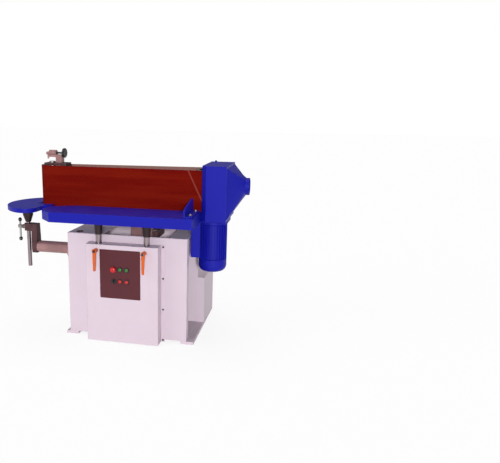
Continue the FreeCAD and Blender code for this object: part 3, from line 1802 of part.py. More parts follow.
def end_post():
    """Bright post with the flange that carries the end table."""
    length = f"{END_TABLE_UNDERSIDE} - end_post_bottom"
    section = [
        ("0", "0"),
        ("end_post_radius - 1", "0"),
        ("end_post_radius", "1"),
        ("end_post_radius", f"{length} - end_flange_height"),
        ("end_post_radius + 4", f"{length} - end_flange_height"),
        ("end_flange_radius - 5", f"{length} - 9"),
        ("end_flange_radius", f"{length} - 6"),
        ("end_flange_radius", length),
        ("0", length),
    ]
    keep("end_post", turned(section, ("end_post_across", "arm_line", "end_post_bottom")))


def support_arm():
    """Tube with a welded flange that stands out from the cabinet's left side."""
    length = "cabinet_left - bracket_right"
    section = [
        ("arm_radius - arm_wall", "-arm_insert"),
        ("arm_radius", "-arm_insert"),
        ("arm_radius", "0"),
        ("arm_flange_radius", "0"),
        ("arm_flange_radius", "arm_flange_thickness"),
        ("arm_radius + 3", "arm_flange_thickness"),
        ("arm_radius", "arm_flange_thickness + 4"),
        ("arm_radius", length),
        ("arm_radius - arm_wall", length),
    ]
    keep("support_arm", turned(section, ("cabinet_left", "arm_line", "arm_height"), "-X"))


def clamp_bracket():
    """Casting at the arm's end with a groove for the post and a split collar at its top."""
    bracket = body()
    half = "bracket_depth / 2"
    sides = ("bracket_left", "bracket_right")
    lower = f"{half} - 4"
    outline_side = [
        (f"arm_line - ({lower})", "bracket_bottom"),
        (f"arm_line + {lower}", "bracket_bottom"),
        (f"arm_line + {half}", "bracket_bottom + 26"),
        (f"arm_line + {half}", "bracket_bottom + 84"),
        (f"arm_line + {half} - 6", "bracket_top"),
        (f"arm_line - {half} + 6", "bracket_top"),
        (f"arm_line - {half}", "bracket_bottom + 84"),
        (f"arm_line - {half}", "bracket_bottom + 26"),
    ]
    pad(bracket, "YZ_Plane", *sides, outline_side)
    collar = "end_post_radius + collar_wall"
    collar_level = ("bracket_top - collar_depth", "bracket_top")
    post = ("end_post_across", "arm_line")
    pad(bracket, "XY_Plane", *collar_level, circles=[(post, collar)])
    pad(
        bracket,
        "XY_Plane",
        *collar_level,
        rectangle("end_post_across", "bracket_left + 2", f"arm_line - ({collar})", f"arm_line + {collar}"),
    )
    boss_level = "bracket_top - collar_depth / 2"
    pad(
        bracket,
        "YZ_Plane",
        "end_post_across - end_post_radius - 24",
        "end_post_across - end_post_radius - 3",
        circles=[(("arm_line", boss_level), "clamp_screw_radius + 7")],
    )
    bore = [(post, "end_post_radius + running_fit")]
    pocket(bracket, "XY_Plane", "bracket_bottom", "bracket_top", circles=bore)
    thread = [(("arm_line", boss_level), "clamp_screw_radius + running_fit")]
    pocket(
        bracket, "YZ_Plane", "end_post_across - end_post_radius - 24", "end_post_across", circles=thread
    )
    keep("clamp_bracket", bracket)


def clamp_handle():
    """Clamp screw with a cross bar, and a black grip on each end of the bar."""
    height = "bracket_top - collar_depth / 2"
    inner_end = "end_post_across - end_post_radius - flat_clearance"
    screw = rod(
        "X", ("clamp_bar_across", "arm_line", height), f"{inner_end} - clamp_bar_across", "clamp_screw_radius"
    )
    head = rod("X", ("clamp_bar_across - 10", "arm_line", height), "20", "clamp_bar_radius + 5")
    bar = rod(
        "Z",
        ("clamp_bar_across", "arm_line", f"{height} - clamp_bar_below"),
        "clamp_bar_below + clamp_bar_above",
        "clamp_bar_radius",
    )
    keep("clamp_screw", fuse(screw, head, bar))

    section = [
        ("0", "0"),
        ("clamp_bar_radius", "0"),
        ("clamp_grip_radius", "clamp_grip_length * 0.35"),
        ("clamp_grip_radius", "clamp_grip_length * 0.7"),
        ("clamp_grip_radius * 0.6", "clamp_grip_length"),
        ("0", "clamp_grip_length"),
    ]
    upper = turned(section, ("clamp_bar_across", "arm_line", f"{height} + clamp_bar_above"))
    lower_section = [(reach, f"-({up})") for reach, up in reversed(section)]
    lower = turned(lower_section, ("clamp_bar_across", "arm_line", f"{height} - clamp_bar_below"))
    keep("clamp_grips", group(upper, lower))


foot_rail("left_foot_rail", FEET_LEFT)
foot_rail("right_foot_rail", f"{FEET_RIGHT} - foot_rail_width")
cabinet()
rear_box()
control_box()
cover_screws()
control_panel()
switch_bodies()
spots = list(switch_places())
emergency_stop(spots[0])
selector_knob(spots[1])
push_button("belt_start_button", spots[2])
push_button("belt_stop_button", spots[3])
push_button("oscillation_start_button", spots[4])
push_button("oscillation_stop_button", spots[5])
contactors()
for side, across in POST_PLACES.items():
    post_guide(f"{side}_post_guide", across)
    table_post(f"{side}_table_post", across)
    post_flange(f"{side}_post_flange", across)
    lever(side, across)
main_table()
work_stop()
dust_skirt()
head_frame()
platen()
abrasive_belt()
drive_drum()
idler()
idler_carriage()
tracking_screw()
slide()
guide_bracket("lower_guide_bracket", "lower_bracket")
guide_bracket("upper_guide_bracket", "upper_bracket")
oscillation_drive()
motor()
dust_hood()
dust_funnel()
end_table()
end_post()
support_arm()
clamp_bracket()
clamp_handle()

doc.recompute()
failed = [made for made in doc.Objects if "Invalid" in made.State or "Error" in made.State]
if failed:
    owners = [getattr(made.getParentGeoFeatureGroup(), "Label", "") for made in failed]
    raise RuntimeError(f"not built: {[(made.Name, owner) for made, owner in zip(failed, owners)]}")
for made in sub_parts:
    if made.Shape.isNull() or not made.Shape.isValid() or not made.Shape.Solids:
        raise RuntimeError(f"{made.Label} has no sound solid")

os.makedirs("parts", exist_ok=True)
for made in sub_parts:
    made.Shape.exportStep(f"parts/{made.Label}.step")
print(len(sub_parts), "sub-parts")
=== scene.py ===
"""Finishes, lighting and close detail for the edge belt sander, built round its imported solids."""

import json
import math

import bpy
from mathutils import Matrix, Vector


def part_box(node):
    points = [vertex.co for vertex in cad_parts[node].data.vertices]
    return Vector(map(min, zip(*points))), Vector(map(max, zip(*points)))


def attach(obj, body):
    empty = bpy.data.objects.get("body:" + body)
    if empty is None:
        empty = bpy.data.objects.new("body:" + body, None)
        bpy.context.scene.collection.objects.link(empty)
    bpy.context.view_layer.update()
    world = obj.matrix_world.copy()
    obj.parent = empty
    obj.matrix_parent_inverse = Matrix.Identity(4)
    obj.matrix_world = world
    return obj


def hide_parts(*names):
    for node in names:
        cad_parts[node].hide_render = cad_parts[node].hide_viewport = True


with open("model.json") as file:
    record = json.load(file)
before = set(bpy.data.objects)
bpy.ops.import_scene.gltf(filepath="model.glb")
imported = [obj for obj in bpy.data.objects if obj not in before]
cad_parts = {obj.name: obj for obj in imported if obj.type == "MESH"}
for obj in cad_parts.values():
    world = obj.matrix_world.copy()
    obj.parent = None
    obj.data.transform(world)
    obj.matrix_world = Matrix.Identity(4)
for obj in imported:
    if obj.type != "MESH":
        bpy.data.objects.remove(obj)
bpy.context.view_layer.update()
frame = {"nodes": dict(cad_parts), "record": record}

bl_info = {
    "name": "Edge Sander Finish",
    "version": (1, 0, 0),
    "blender": (4, 5, 0),
    "location": "3D View > Sidebar > Edge Sander",
    "description": "Builds the enamel, steel and belt finishes and the small parts of an edge sander",
    "category": "Object",
}

MM = 0.001
SLOTS = {entry["node"]: entry["material_slot"] for entry in frame["record"]["subparts"]}
BODIES = {
    node: body for body, members in frame["record"]["behaviour"]["bodies"].items() for node in members
}


# Settings

RGB = {"size": 3, "min": 0, "max": 1}


class SanderSettings(bpy.types.PropertyGroup):
    """The finishes and small sizes of the sander"""

    cabinet_colour: bpy.props.FloatVectorProperty(
        name="Cabinet",
        description="Enamel of the cabinet, control box and foot rails",
        subtype="COLOR",
        default=(0.60, 0.505, 0.575),
        **RGB,
    )
    casting_colour: bpy.props.FloatVectorProperty(
        name="Table and hood",
        description="Enamel of the tables, hood, motor and belt head",
        subtype="COLOR",
        default=(0.006, 0.008, 0.31),
        **RGB,
    )
    belt_colour: bpy.props.FloatVectorProperty(
        name="Abrasive",
        description="Grit side of the belt",
        subtype="COLOR",
        default=(0.13, 0.003, 0.0012),
        **RGB,
    )
    panel_colour: bpy.props.FloatVectorProperty(
        name="Control panel",
        description="Enamel of the plate that carries the switches",
        subtype="COLOR",
        default=(0.088, 0.022, 0.028),
        **RGB,
    )
    lever_colour: bpy.props.FloatVectorProperty(
        name="Locking levers",
        description="Plastic of the two table locking levers",
        subtype="COLOR",
        default=(0.60, 0.095, 0.003),
        **RGB,
    )
    sheet_edge: bpy.props.FloatProperty(
        name="Sheet edge",
        description="How far the edges of sheet metal are rounded",
        unit="LENGTH",
        subtype="DISTANCE",
        min=0.0001,
        max=0.005,
        default=0.0009,
    )
    casting_edge: bpy.props.FloatProperty(
        name="Casting edge",
        description="How far the edges of castings are rounded",
        unit="LENGTH",
        subtype="DISTANCE",
        min=0.0005,
        max=0.01,
        default=0.0022,
    )
    machined_edge: bpy.props.FloatProperty(
        name="Machined edge",
        description="How far the edges of turned and milled pieces are broken",
        unit="LENGTH",
        subtype="DISTANCE",
        min=0.0001,
        max=0.003,
        default=0.0006,
    )


# Marks that a piece's faces carry for its finish
WORN_EDGE = "worn_edge"
CLOTH_SIDE = "cloth_side"

# Shared surface effects


def effect(name, inputs, outputs):
    """A new shader node group with its sockets, and its inner input and output nodes."""
    tree = bpy.data.node_groups.new(name, "ShaderNodeTree")
    for socket, default in inputs.items():
        made = tree.interface.new_socket(name=socket, in_out="INPUT", socket_type="NodeSocketFloat")
        made.default_value = default
    for socket in outputs:
        tree.interface.new_socket(name=socket, in_out="OUTPUT", socket_type="NodeSocketFloat")
    entry = tree.nodes.new("NodeGroupInput")
    leave = tree.nodes.new("NodeGroupOutput")
    return tree, entry, leave


def maths(tree, operation, first, second=None, clamp=False):
    """A maths node fed by sockets or plain numbers."""
    node = tree.nodes.new("ShaderNodeMath")
    node.operation = operation
    node.use_clamp = clamp
    for socket, value in zip(node.inputs, (first, second)):
        if value is None:
            continue
        if isinstance(value, bpy.types.NodeSocket):
            tree.links.new(value, socket)
        else:
            socket.default_value = value
    return node.outputs[0]


def noise(tree, scale, detail=3.0, stretch=None):
    """A noise pattern in object space, stretched where a direction shows."""
    place = tree.nodes.new("ShaderNodeTexCoord")
    vector = place.outputs["Object"]
    if stretch:
        mapping = tree.nodes.new("ShaderNodeMapping")
        mapping.inputs["Scale"].default_value = stretch
        tree.links.new(vector, mapping.inputs["Vector"])
        vector = mapping.outputs["Vector"]
    node = tree.nodes.new("ShaderNodeTexNoise")
    tree.links.new(vector, node.inputs["Vector"])
    node.inputs["Detail"].default_value = detail
    if isinstance(scale, bpy.types.NodeSocket):
        tree.links.new(scale, node.inputs["Scale"])
    else:
        node.inputs["Scale"].default_value = scale
    return node.outputs[0]


def ramp(tree, value, low, high):
    """Zero below low, one above high, and even between."""
    node = tree.nodes.new("ShaderNodeMapRange")
    node.clamp = True
    node.inputs["From Min"].default_value = low
    node.inputs["From Max"].default_value = high
    tree.links.new(value, node.inputs["Value"])
    return node.outputs["Result"]


def enamel_effect():
    """Orange peel, shallow waves of the sheet and cloudy tone of sprayed enamel."""
    tree, entry, leave = effect(
        "Sprayed enamel", {"Peel Scale": 260.0, "Wave Scale": 5.0}, ("Height", "Clouds")
    )
    peel = noise(tree, entry.outputs["Peel Scale"], 2.0)
    wave = noise(tree, entry.outputs["Wave Scale"], 1.0)
    height = maths(tree, "ADD", maths(tree, "MULTIPLY", peel, 0.12), wave)
    tree.links.new(height, leave.inputs["Height"])
    tree.links.new(noise(tree, 11.0, 5.0), leave.inputs["Clouds"])
    return tree


def wear_effect():
    """Paint rubbed off the corners, broken up by a fine pattern."""
    tree, entry, leave = effect("Edge wear", {"Amount": 0.5, "Scale": 60.0}, ("Mask",))
    corner = tree.nodes.new("ShaderNodeAttribute")
    corner.attribute_name = WORN_EDGE
    broken = ramp(tree, noise(tree, entry.outputs["Scale"], 6.0), 0.46, 0.62)
    worn = maths(tree, "MULTIPLY", corner.outputs["Fac"], broken)
    mask = maths(tree, "MULTIPLY", worn, entry.outputs["Amount"], True)
    tree.links.new(mask, leave.inputs["Mask"])
    return tree


def dust_effect():
    """Fine wood dust that lies on whatever faces up."""
    tree, entry, leave = effect("Settled dust", {"Amount": 0.3}, ("Mask",))
    geometry = tree.nodes.new("ShaderNodeNewGeometry")
    split = tree.nodes.new("ShaderNodeSeparateXYZ")
    tree.links.new(geometry.outputs["Normal"], split.inputs["Vector"])
    upward = ramp(tree, split.outputs["Z"], 0.55, 0.98)
    drifts = ramp(tree, noise(tree, 9.0, 8.0), 0.38, 0.75)
    lying = maths(tree, "MULTIPLY", upward, drifts)
    mask = maths(tree, "MULTIPLY", lying, entry.outputs["Amount"], True)
    tree.links.new(mask, leave.inputs["Mask"])
    return tree


def machining_effect():
    """Fine parallel tool marks across the height of a piece."""
    tree, entry, leave = effect("Tool marks", {"Scale": 30.0}, ("Height", "Tone"))
    marks = noise(tree, entry.outputs["Scale"], 4.0, (1.0, 1.0, 26.0))
    tree.links.new(marks, leave.inputs["Height"])
    tree.links.new(noise(tree, 14.0, 4.0), leave.inputs["Tone"])
    return tree


def grit_effect():
    """Packed abrasive grains, with paler loaded streaks along the belt."""
    tree, entry, leave = effect("Abrasive grit", {"Scale": 900.0}, ("Height", "Grain", "Loading"))
    place = tree.nodes.new("ShaderNodeTexCoord")
    grains = tree.nodes.new("ShaderNodeTexVoronoi")
    tree.links.new(place.outputs["Object"], grains.inputs["Vector"])
    tree.links.new(entry.outputs["Scale"], grains.inputs["Scale"])
    tree.links.new(grains.outputs["Distance"], leave.inputs["Height"])
    tree.links.new(ramp(tree, noise(tree, 420.0, 2.0), 0.35, 0.65), leave.inputs["Grain"])
    streaks = noise(tree, 7.0, 6.0, (0.35, 1.0, 3.2))
    tree.links.new(ramp(tree, streaks, 0.42, 0.72), leave.inputs["Loading"])
    return tree


EFFECTS = {}


def placed(material, name):
    """A shared effect, placed in a material."""
    node = material.node_tree.nodes.new("ShaderNodeGroup")
    node.node_tree = EFFECTS[name]
    return node


# Finishes

SAWDUST = (0.52, 0.44, 0.36)
BARE_IRON = (0.32, 0.29, 0.28)
LOADED_GRIT = (0.26, 0.018, 0.004)
LAP_COLOUR = (0.20, 0.035, 0.025)
BELT_CLOTH = (0.24, 0.13, 0.11)
RUBBER_BLOOM = (0.09, 0.08, 0.075)


def blank(name, roughness, metallic=0.0, coat=0.0, gloss=0.5):
    """A new material with its shader's plain values set."""
    material = bpy.data.materials.new(name)
    material.use_nodes = True
    shader = material.node_tree.nodes["Principled BSDF"]
    shader.inputs["Roughness"].default_value = roughness
    shader.inputs["Metallic"].default_value = metallic
    shader.inputs["Coat Weight"].default_value = coat
    shader.inputs["Coat Roughness"].default_value = 0.12
    shader.inputs["Specular IOR Level"].default_value = gloss
    return material, material.node_tree, shader


def blended(tree, factor, first, second):
    """A mix of two colours, each a socket or a plain colour."""
    node = tree.nodes.new("ShaderNodeMix")
    node.data_type = "RGBA"
    tree.links.new(factor, node.inputs[0])
    for socket, value in ((node.inputs[6], first), (node.inputs[7], second)):
        if isinstance(value, bpy.types.NodeSocket):
            tree.links.new(value, socket)
        else:
            socket.default_value = (*value, 1.0)
    return node.outputs[2]


def shade(colour, amount):
    """A colour made lighter or darker."""
    return tuple(min(1.0, part * amount) for part in colour)


def bumped(tree, shader, height, strength, distance):
    """Relief from a height pattern."""
    node = tree.nodes.new("ShaderNodeBump")
    node.inputs["Strength"].default_value = strength
    node.inputs["Distance"].default_value = distance
    tree.links.new(height, node.inputs["Height"])
    tree.links.new(node.outputs["Normal"], shader.inputs["Normal"])


def coloured(tree, shader, colour, pattern=None, amount=0.0, roughness=0.0):
    """Link a colour, and a roughness that a pattern varies."""
    tree.links.new(colour, shader.inputs["Base Color"])
    if pattern:
        rough = maths(tree, "ADD", maths(tree, "MULTIPLY", pattern, amount), roughness, True)
        tree.links.new(rough, shader.inputs["Roughness"])


def enamel(name, colour, roughness, wear, dust, bare):
    """Sprayed enamel over metal, with worn corners and settled dust."""
    material, tree, shader = blank(name, roughness, coat=0.03, gloss=0.16)
    spray = placed(material, "Sprayed enamel")
    worn = placed(material, "Edge wear")
    worn.inputs["Amount"].default_value = wear
    settled = placed(material, "Settled dust")
    settled.inputs["Amount"].default_value = dust
    paint = blended(tree, spray.outputs["Clouds"], shade(colour, 0.96), shade(colour, 1.04))
    rubbed = blended(tree, worn.outputs["Mask"], paint, bare)
    dusty = blended(tree, settled.outputs["Mask"], rubbed, SAWDUST)
    coloured(tree, shader, dusty, settled.outputs["Mask"], 0.4, roughness)
    bumped(tree, shader, spray.outputs["Height"], 0.12, 0.0012)
    return material


def metal(name, colour, roughness, marks, metallic=1.0, dark=0.8):
    """Machined or drawn metal with tool marks and handling tone."""
    material, tree, shader = blank(name, roughness, metallic)
    lines = placed(material, "Tool marks")
    lines.inputs["Scale"].default_value = marks
    tone = ramp(tree, lines.outputs["Tone"], 0.35, 0.65)
    handled = blended(tree, tone, shade(colour, dark), colour)
    coloured(tree, shader, handled, lines.outputs["Tone"], 0.18, roughness - 0.06)
    bumped(tree, shader, lines.outputs["Height"], 0.15, 0.0004)
    return material


def casting(name, colour, roughness):
    """Rough cast iron under a thin dark coat, bright where it has been knocked."""
    material, tree, shader = blank(name, roughness, 0.35)
    worn = placed(material, "Edge wear")
    worn.inputs["Amount"].default_value = 0.8
    sand = noise(tree, 420.0, 4.0)
    clouds = ramp(tree, noise(tree, 24.0, 5.0), 0.3, 0.7)
    tone = blended(tree, clouds, shade(colour, 0.75), shade(colour, 1.3))
    coloured(tree, shader, blended(tree, worn.outputs["Mask"], tone, BARE_IRON))
    bumped(tree, shader, sand, 0.35, 0.0008)
    return material


def plastic(name, colour, roughness):
    """Moulded plastic with a fine grain and slightly uneven gloss."""
    material, tree, shader = blank(name, roughness)
    pattern = noise(tree, 520.0, 2.0)
    handled = noise(tree, 30.0, 4.0)
    tone = blended(tree, handled, shade(colour, 0.9), shade(colour, 1.08))
    coloured(tree, shader, tone, handled, 0.16, roughness - 0.05)
    bumped(tree, shader, pattern, 0.08, 0.0003)
    return material


# The lap joint of the belt, in metres: how far it slants, where it stands and how wide it is
LAP_SLANT = 0.48
LAP_PLACE = 0.816
LAP_HALF_WIDTH = 0.005
BELT_FRONT = -0.2


def lap_joint(tree):
    """A narrow slanting band on the belt's front run, where its ends lap."""
    place = tree.nodes.new("ShaderNodeTexCoord")
    split = tree.nodes.new("ShaderNodeSeparateXYZ")
    tree.links.new(place.outputs["Object"], split.inputs["Vector"])
    slant = maths(tree, "MULTIPLY", split.outputs["Z"], LAP_SLANT)
    along = maths(tree, "ADD", split.outputs["X"], slant)
    from_middle = maths(tree, "ABSOLUTE", maths(tree, "SUBTRACT", along, LAP_PLACE))
    band = maths(tree, "LESS_THAN", from_middle, LAP_HALF_WIDTH)
    front = maths(tree, "LESS_THAN", split.outputs["Y"], BELT_FRONT)
    return maths(tree, "MULTIPLY", band, front)


def abrasive(name, colour):
    """Coated cloth: packed grit with dust pressed into it outside, and bare cloth inside."""
    material, tree, shader = blank(name, 0.9, gloss=0.05)
    grit = placed(material, "Abrasive grit")
    grain = blended(tree, grit.outputs["Grain"], shade(colour, 0.7), shade(colour, 1.35))
    loaded = maths(tree, "MULTIPLY", grit.outputs["Loading"], 0.3)
    dusty = blended(tree, loaded, grain, LOADED_GRIT)
    lap = lap_joint(tree)
    lapped = blended(tree, lap, dusty, LAP_COLOUR)
    side = tree.nodes.new("ShaderNodeAttribute")
    side.attribute_name = CLOTH_SIDE
    coloured(tree, shader, blended(tree, side.outputs["Fac"], lapped, BELT_CLOTH))
    relief = maths(tree, "ADD", maths(tree, "MULTIPLY", grit.outputs["Height"], 0.5), lap)
    bumped(tree, shader, relief, 0.5, 0.0006)
    return material


def rubber(name, colour):
    """Black moulded rubber, greyed by dust."""
    material, tree, shader = blank(name, 0.7)
    bloom = ramp(tree, noise(tree, 18.0, 6.0), 0.4, 0.8)
    coloured(tree, shader, blended(tree, bloom, colour, RUBBER_BLOOM))
    bumped(tree, shader, noise(tree, 320.0, 3.0), 0.2, 0.0005)
    return material


FINISHES = {}


def make_finishes(look):
    """Build every effect and one material for each slot of the record."""
    for build in (enamel_effect, wear_effect, dust_effect, machining_effect, grit_effect):
        tree = build()
        EFFECTS[tree.name] = tree
    cream, blue, panel = (
        tuple(colour) for colour in (look.cabinet_colour, look.casting_colour, look.panel_colour)
    )
    FINISHES.update(
        cabinet_paint=enamel("Cream enamel", cream, 0.42, 0.25, 0.12, (0.40, 0.36, 0.36)),
        blue_paint=enamel("Blue enamel", blue, 0.46, 0.3, 0.03, (0.06, 0.06, 0.24)),
        panel_paint=enamel("Panel enamel", panel, 0.40, 0.1, 0.0, (0.20, 0.12, 0.13)),
        bright_steel=metal("Ground steel", (0.36, 0.29, 0.31), 0.22, 40.0),
        steel=metal("Machined steel", (0.45, 0.43, 0.42), 0.36, 26.0),
        tube_steel=metal("Drawn tube", (0.40, 0.22, 0.22), 0.42, 18.0, metallic=0.6, dark=0.75),
        dark_casting=casting("Dark casting", (0.072, 0.028, 0.032), 0.6),
        black_steel=metal("Blackened steel", (0.045, 0.030, 0.032), 0.32, 30.0, metallic=0.8),
        orange_plastic=plastic("Orange plastic", tuple(look.lever_colour), 0.34),
        red_plastic=plastic("Red plastic", (0.52, 0.006, 0.010), 0.28),
        green_plastic=plastic("Green plastic", (0.035, 0.15, 0.02), 0.28),
        black_plastic=plastic("Black plastic", (0.012, 0.012, 0.013), 0.3),
        grey_plastic=plastic("Grey plastic", (0.17, 0.17, 0.18), 0.5),
        abrasive_cloth=abrasive("Abrasive cloth", tuple(look.belt_colour)),
        drum_rubber=rubber("Drum rubber", (0.016, 0.016, 0.016)),
        drum_metal=metal("Machined casting", (0.55, 0.55, 0.56), 0.34, 22.0),
        bronze=metal("Bearing bronze", (0.50, 0.30, 0.12), 0.36, 30.0),
    )


# How pieces are made


def look_settings():
    """The panel's settings."""
    return bpy.context.scene.edge_sander


def let_go():
    """Nothing selected, in object mode."""
    if bpy.context.object and bpy.context.object.mode != "OBJECT":
        bpy.ops.object.mode_set(mode="OBJECT")
    bpy.ops.object.select_all(action="DESELECT")


def take(piece):
    """Only this piece selected and active."""
    let_go()
    piece.select_set(True)
    bpy.context.view_layer.objects.active = piece


def applied(piece, kind, **values):
    """Add a modifier with its values and apply it."""
    take(piece)
    modifier = piece.modifiers.new(kind.title(), kind)
    for name, value in values.items():
        setattr(modifier, name, value)
    bpy.ops.object.modifier_apply(modifier=modifier.name)


def rounded(piece, width, segments=2, angle=32.0):
    """Round a piece's sharp edges."""
    applied(
        piece,
        "BEVEL",
        width=width,
        segments=segments,
        limit_method="ANGLE",
        angle_limit=math.radians(angle),
        miter_outer="MITER_ARC",
    )


def smooth(piece, angle):
    """Smooth shading up to an angle, with the large faces kept flat."""
    take(piece)
    bpy.ops.object.shade_smooth_by_angle(angle=math.radians(angle))
    applied(piece, "WEIGHTED_NORMAL", keep_sharp=True)


# Finishes that wear at the edges, the width in metres of a face that counts as an edge, and the
# angle in degrees from which an edge stays sharp
WEARING = ("cabinet_paint", "blue_paint", "panel_paint", "dark_casting")
NARROW_FACE = 0.0013
CREASE = 34.0


def mark_edges(piece):
    """Mark the narrow faces that rounding left along the edges, where a coat wears first."""
    mesh = piece.data
    marks = mesh.attributes.new(WORN_EDGE, "FLOAT", "FACE")
    places = [vertex.co for vertex in mesh.vertices]
    for face in mesh.polygons:
        corners = [places[index] for index in face.vertices]
        outline = sum((corners[step] - corners[step - 1]).length for step in range(len(corners)))
        marks.data[face.index].value = 1.0 if face.area < outline * NARROW_FACE / 2 else 0.0


def finished(piece, name, node, finish=None, stands_for=(), crease=CREASE):
    """Shade and name a piece, give it its finish and let it ride with its node's body."""
    smooth(piece, crease)
    piece.name = name
    piece.data.name = name
    slot = finish or SLOTS[node]
    piece.data.materials.clear()
    piece.data.materials.append(FINISHES[slot])
    if slot in WEARING:
        mark_edges(piece)
    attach(piece, BODIES[node])
    if stands_for:
        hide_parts(*stands_for)
    return piece


def dressed(node, width, segments=2, finish=None):
    """A copy of a node's solid with merged faces and rounded edges, which takes its place."""
    source = frame["nodes"][node]
    let_go()
    piece = bpy.data.objects.new(node, source.data.copy())
    bpy.context.scene.collection.objects.link(piece)
    take(piece)
    bpy.ops.object.mode_set(mode="EDIT")
    bpy.ops.mesh.select_all(action="SELECT")
    bpy.ops.mesh.remove_doubles(threshold=0.00001)
    bpy.ops.mesh.dissolve_limited(angle_limit=math.radians(0.6))
    bpy.ops.object.mode_set(mode="OBJECT")
    if width:
        rounded(piece, width, segments)
    return finished(piece, f"{node}_shown", node, finish, (node,))


def pick(piece, kind, wanted):
    """Select the faces or vertices that a test accepts, and go into edit mode."""
    take(piece)
    bpy.ops.object.mode_set(mode="EDIT")
    bpy.ops.mesh.select_mode(type=kind)
    bpy.ops.mesh.select_all(action="DESELECT")
    bpy.ops.object.mode_set(mode="OBJECT")
    for part in piece.data.polygons if kind == "FACE" else piece.data.vertices:
        part.select = wanted(part)
    bpy.ops.object.mode_set(mode="EDIT")


AIM = {
    "+Z": Matrix.Identity(4),
    "-Z": Matrix.Rotation(math.pi, 4, "X"),
    "+X": Matrix.Rotation(math.pi / 2, 4, "Y"),
    "-Y": Matrix.Rotation(math.pi / 2, 4, "X"),
}


def turned(steps, foot, aim="+Z", sides=48):
    """A round piece drawn out ring by ring; each step is (height, radius) in millimetres."""
    let_go()
    height, radius = steps[0]
    bpy.ops.mesh.primitive_circle_add(
        vertices=sides, radius=radius * MM, fill_type="NGON", location=(0, 0, height * MM)
    )
    piece = bpy.context.object
    bpy.ops.object.mode_set(mode="EDIT")
    bpy.ops.mesh.select_all(action="SELECT")
    for next_height, next_radius in steps[1:]:
        lift = (0, 0, (next_height - height) * MM)
        bpy.ops.mesh.extrude_region_move(TRANSFORM_OT_translate={"value": lift})
        growth = next_radius / radius
        bpy.ops.transform.resize(value=(growth, growth, 1), center_override=(0, 0, next_height * MM))
        height, radius = next_height, next_radius
    bpy.ops.mesh.select_all(action="SELECT")
    bpy.ops.mesh.normals_make_consistent(inside=False)
    bpy.ops.object.mode_set(mode="OBJECT")
    return put(piece, foot, aim)


def put(piece, foot, aim="+Z"):
    """Turn and move a piece to its place, and leave its object at the origin."""
    take(piece)
    piece.matrix_world = Matrix.Translation(Vector(foot)) @ AIM[aim] @ piece.matrix_world
    bpy.ops.object.transform_apply(location=True, rotation=True, scale=True)
    return piece


def cuboid(low, high):
    """A box between two corners, as a start."""
    let_go()
    low, high = Vector(low), Vector(high)
    bpy.ops.mesh.primitive_cube_add(size=1, location=(low + high) / 2)
    piece = bpy.context.object
    piece.scale = high - low
    bpy.ops.object.transform_apply(location=True, rotation=True, scale=True)
    return piece


def outlined(corners, low, high):
    """An outline in millimetres from above, drawn corner by corner and raised between two levels."""
    let_go()
    bpy.ops.mesh.primitive_circle_add(
        vertices=len(corners), radius=MM, fill_type="NGON", location=(0, 0, low * MM)
    )
    piece = bpy.context.object
    bpy.ops.object.transform_apply(location=True)
    for index, corner in enumerate(corners):
        start = piece.data.vertices[index].co.copy()
        pick(piece, "VERT", lambda vertex, start=start: (vertex.co - start).length < 1e-7)
        shift = Vector((corner[0] * MM, corner[1] * MM, low * MM)) - start
        bpy.ops.transform.translate(value=shift)
        bpy.ops.object.mode_set(mode="OBJECT")
    take(piece)
    bpy.ops.object.mode_set(mode="EDIT")
    bpy.ops.mesh.select_all(action="SELECT")
    bpy.ops.mesh.extrude_region_move(TRANSFORM_OT_translate={"value": (0, 0, (high - low) * MM)})
    bpy.ops.mesh.select_all(action="SELECT")
    bpy.ops.mesh.normals_make_consistent(inside=False)
    bpy.ops.object.mode_set(mode="OBJECT")
    return piece


def combined(piece, other, operation):
    """Unite a piece with another or cut it by another, which goes."""
    applied(piece, "BOOLEAN", object=other, operation=operation, solver="EXACT")
    bpy.data.objects.remove(other)


def joined(pieces):
    """Several pieces as one."""
    let_go()
    for piece in pieces:
        piece.select_set(True)
    bpy.context.view_layer.objects.active = pieces[0]
    bpy.ops.object.join()
    return pieces[0]


def copied(piece, shift):
    """A copy with its own mesh, moved."""
    copy = piece.copy()
    copy.data = piece.data.copy()
    bpy.context.scene.collection.objects.link(copy)
    copy.data.transform(Matrix.Translation(Vector(shift)))
    return copy


def middle(node):
    """The middle of a node's box."""
    low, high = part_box(node)
    return (low + high) / 2


def upright(node):
    """The foot of a round upright node, and its height and radius in millimetres."""
    low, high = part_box(node)
    foot = (middle(node).x, middle(node).y, low.z)
    return foot, (high.z - low.z) / MM, (high.x - low.x) / 2 / MM


def hex_bolt(seat, across, height):
    """A hexagon head on its washer, with a crowned top, seated on a level face."""
    thick = 1.6
    rim = [(0, across * 0.86), (thick - 0.3, across * 0.86), (thick, across * 0.8)]
    washer = turned(rim, seat, sides=32)
    steps = [(0, across * 0.56), (height - 1, across * 0.56), (height, across * 0.46)]
    head = turned(steps, Vector(seat) + Vector((0, 0, thick * MM)), sides=6)
    bolt = joined([washer, head])
    rounded(bolt, 0.0004, 1)
    return bolt


# The pieces


class BuildStage(bpy.types.Operator):
    """Floor, lamps, background and the camera"""

    bl_idname = "edge_sander.stage"
    bl_label = "Stage"

    def execute(self, context):
        floor_and_background()
        lamps()
        camera()
        context.scene.view_settings.view_transform = "Standard"
        return {"FINISHED"}


def shown_to(tree, kinds, share, lit, seen, surface):
    """Let some kinds of ray see another shader, by a share."""
    path = tree.nodes.new("ShaderNodeLightPath")
    ray = path.outputs[kinds[0]]
    for kind in kinds[1:]:
        ray = maths(tree, "MAXIMUM", ray, path.outputs[kind])
    mix = tree.nodes.new("ShaderNodeMixShader")
    tree.links.new(maths(tree, "MULTIPLY", ray, share), mix.inputs[0])
    tree.links.new(lit.outputs[0], mix.inputs[1])
    tree.links.new(seen.outputs[0], mix.inputs[2])
    tree.links.new(mix.outputs[0], surface)


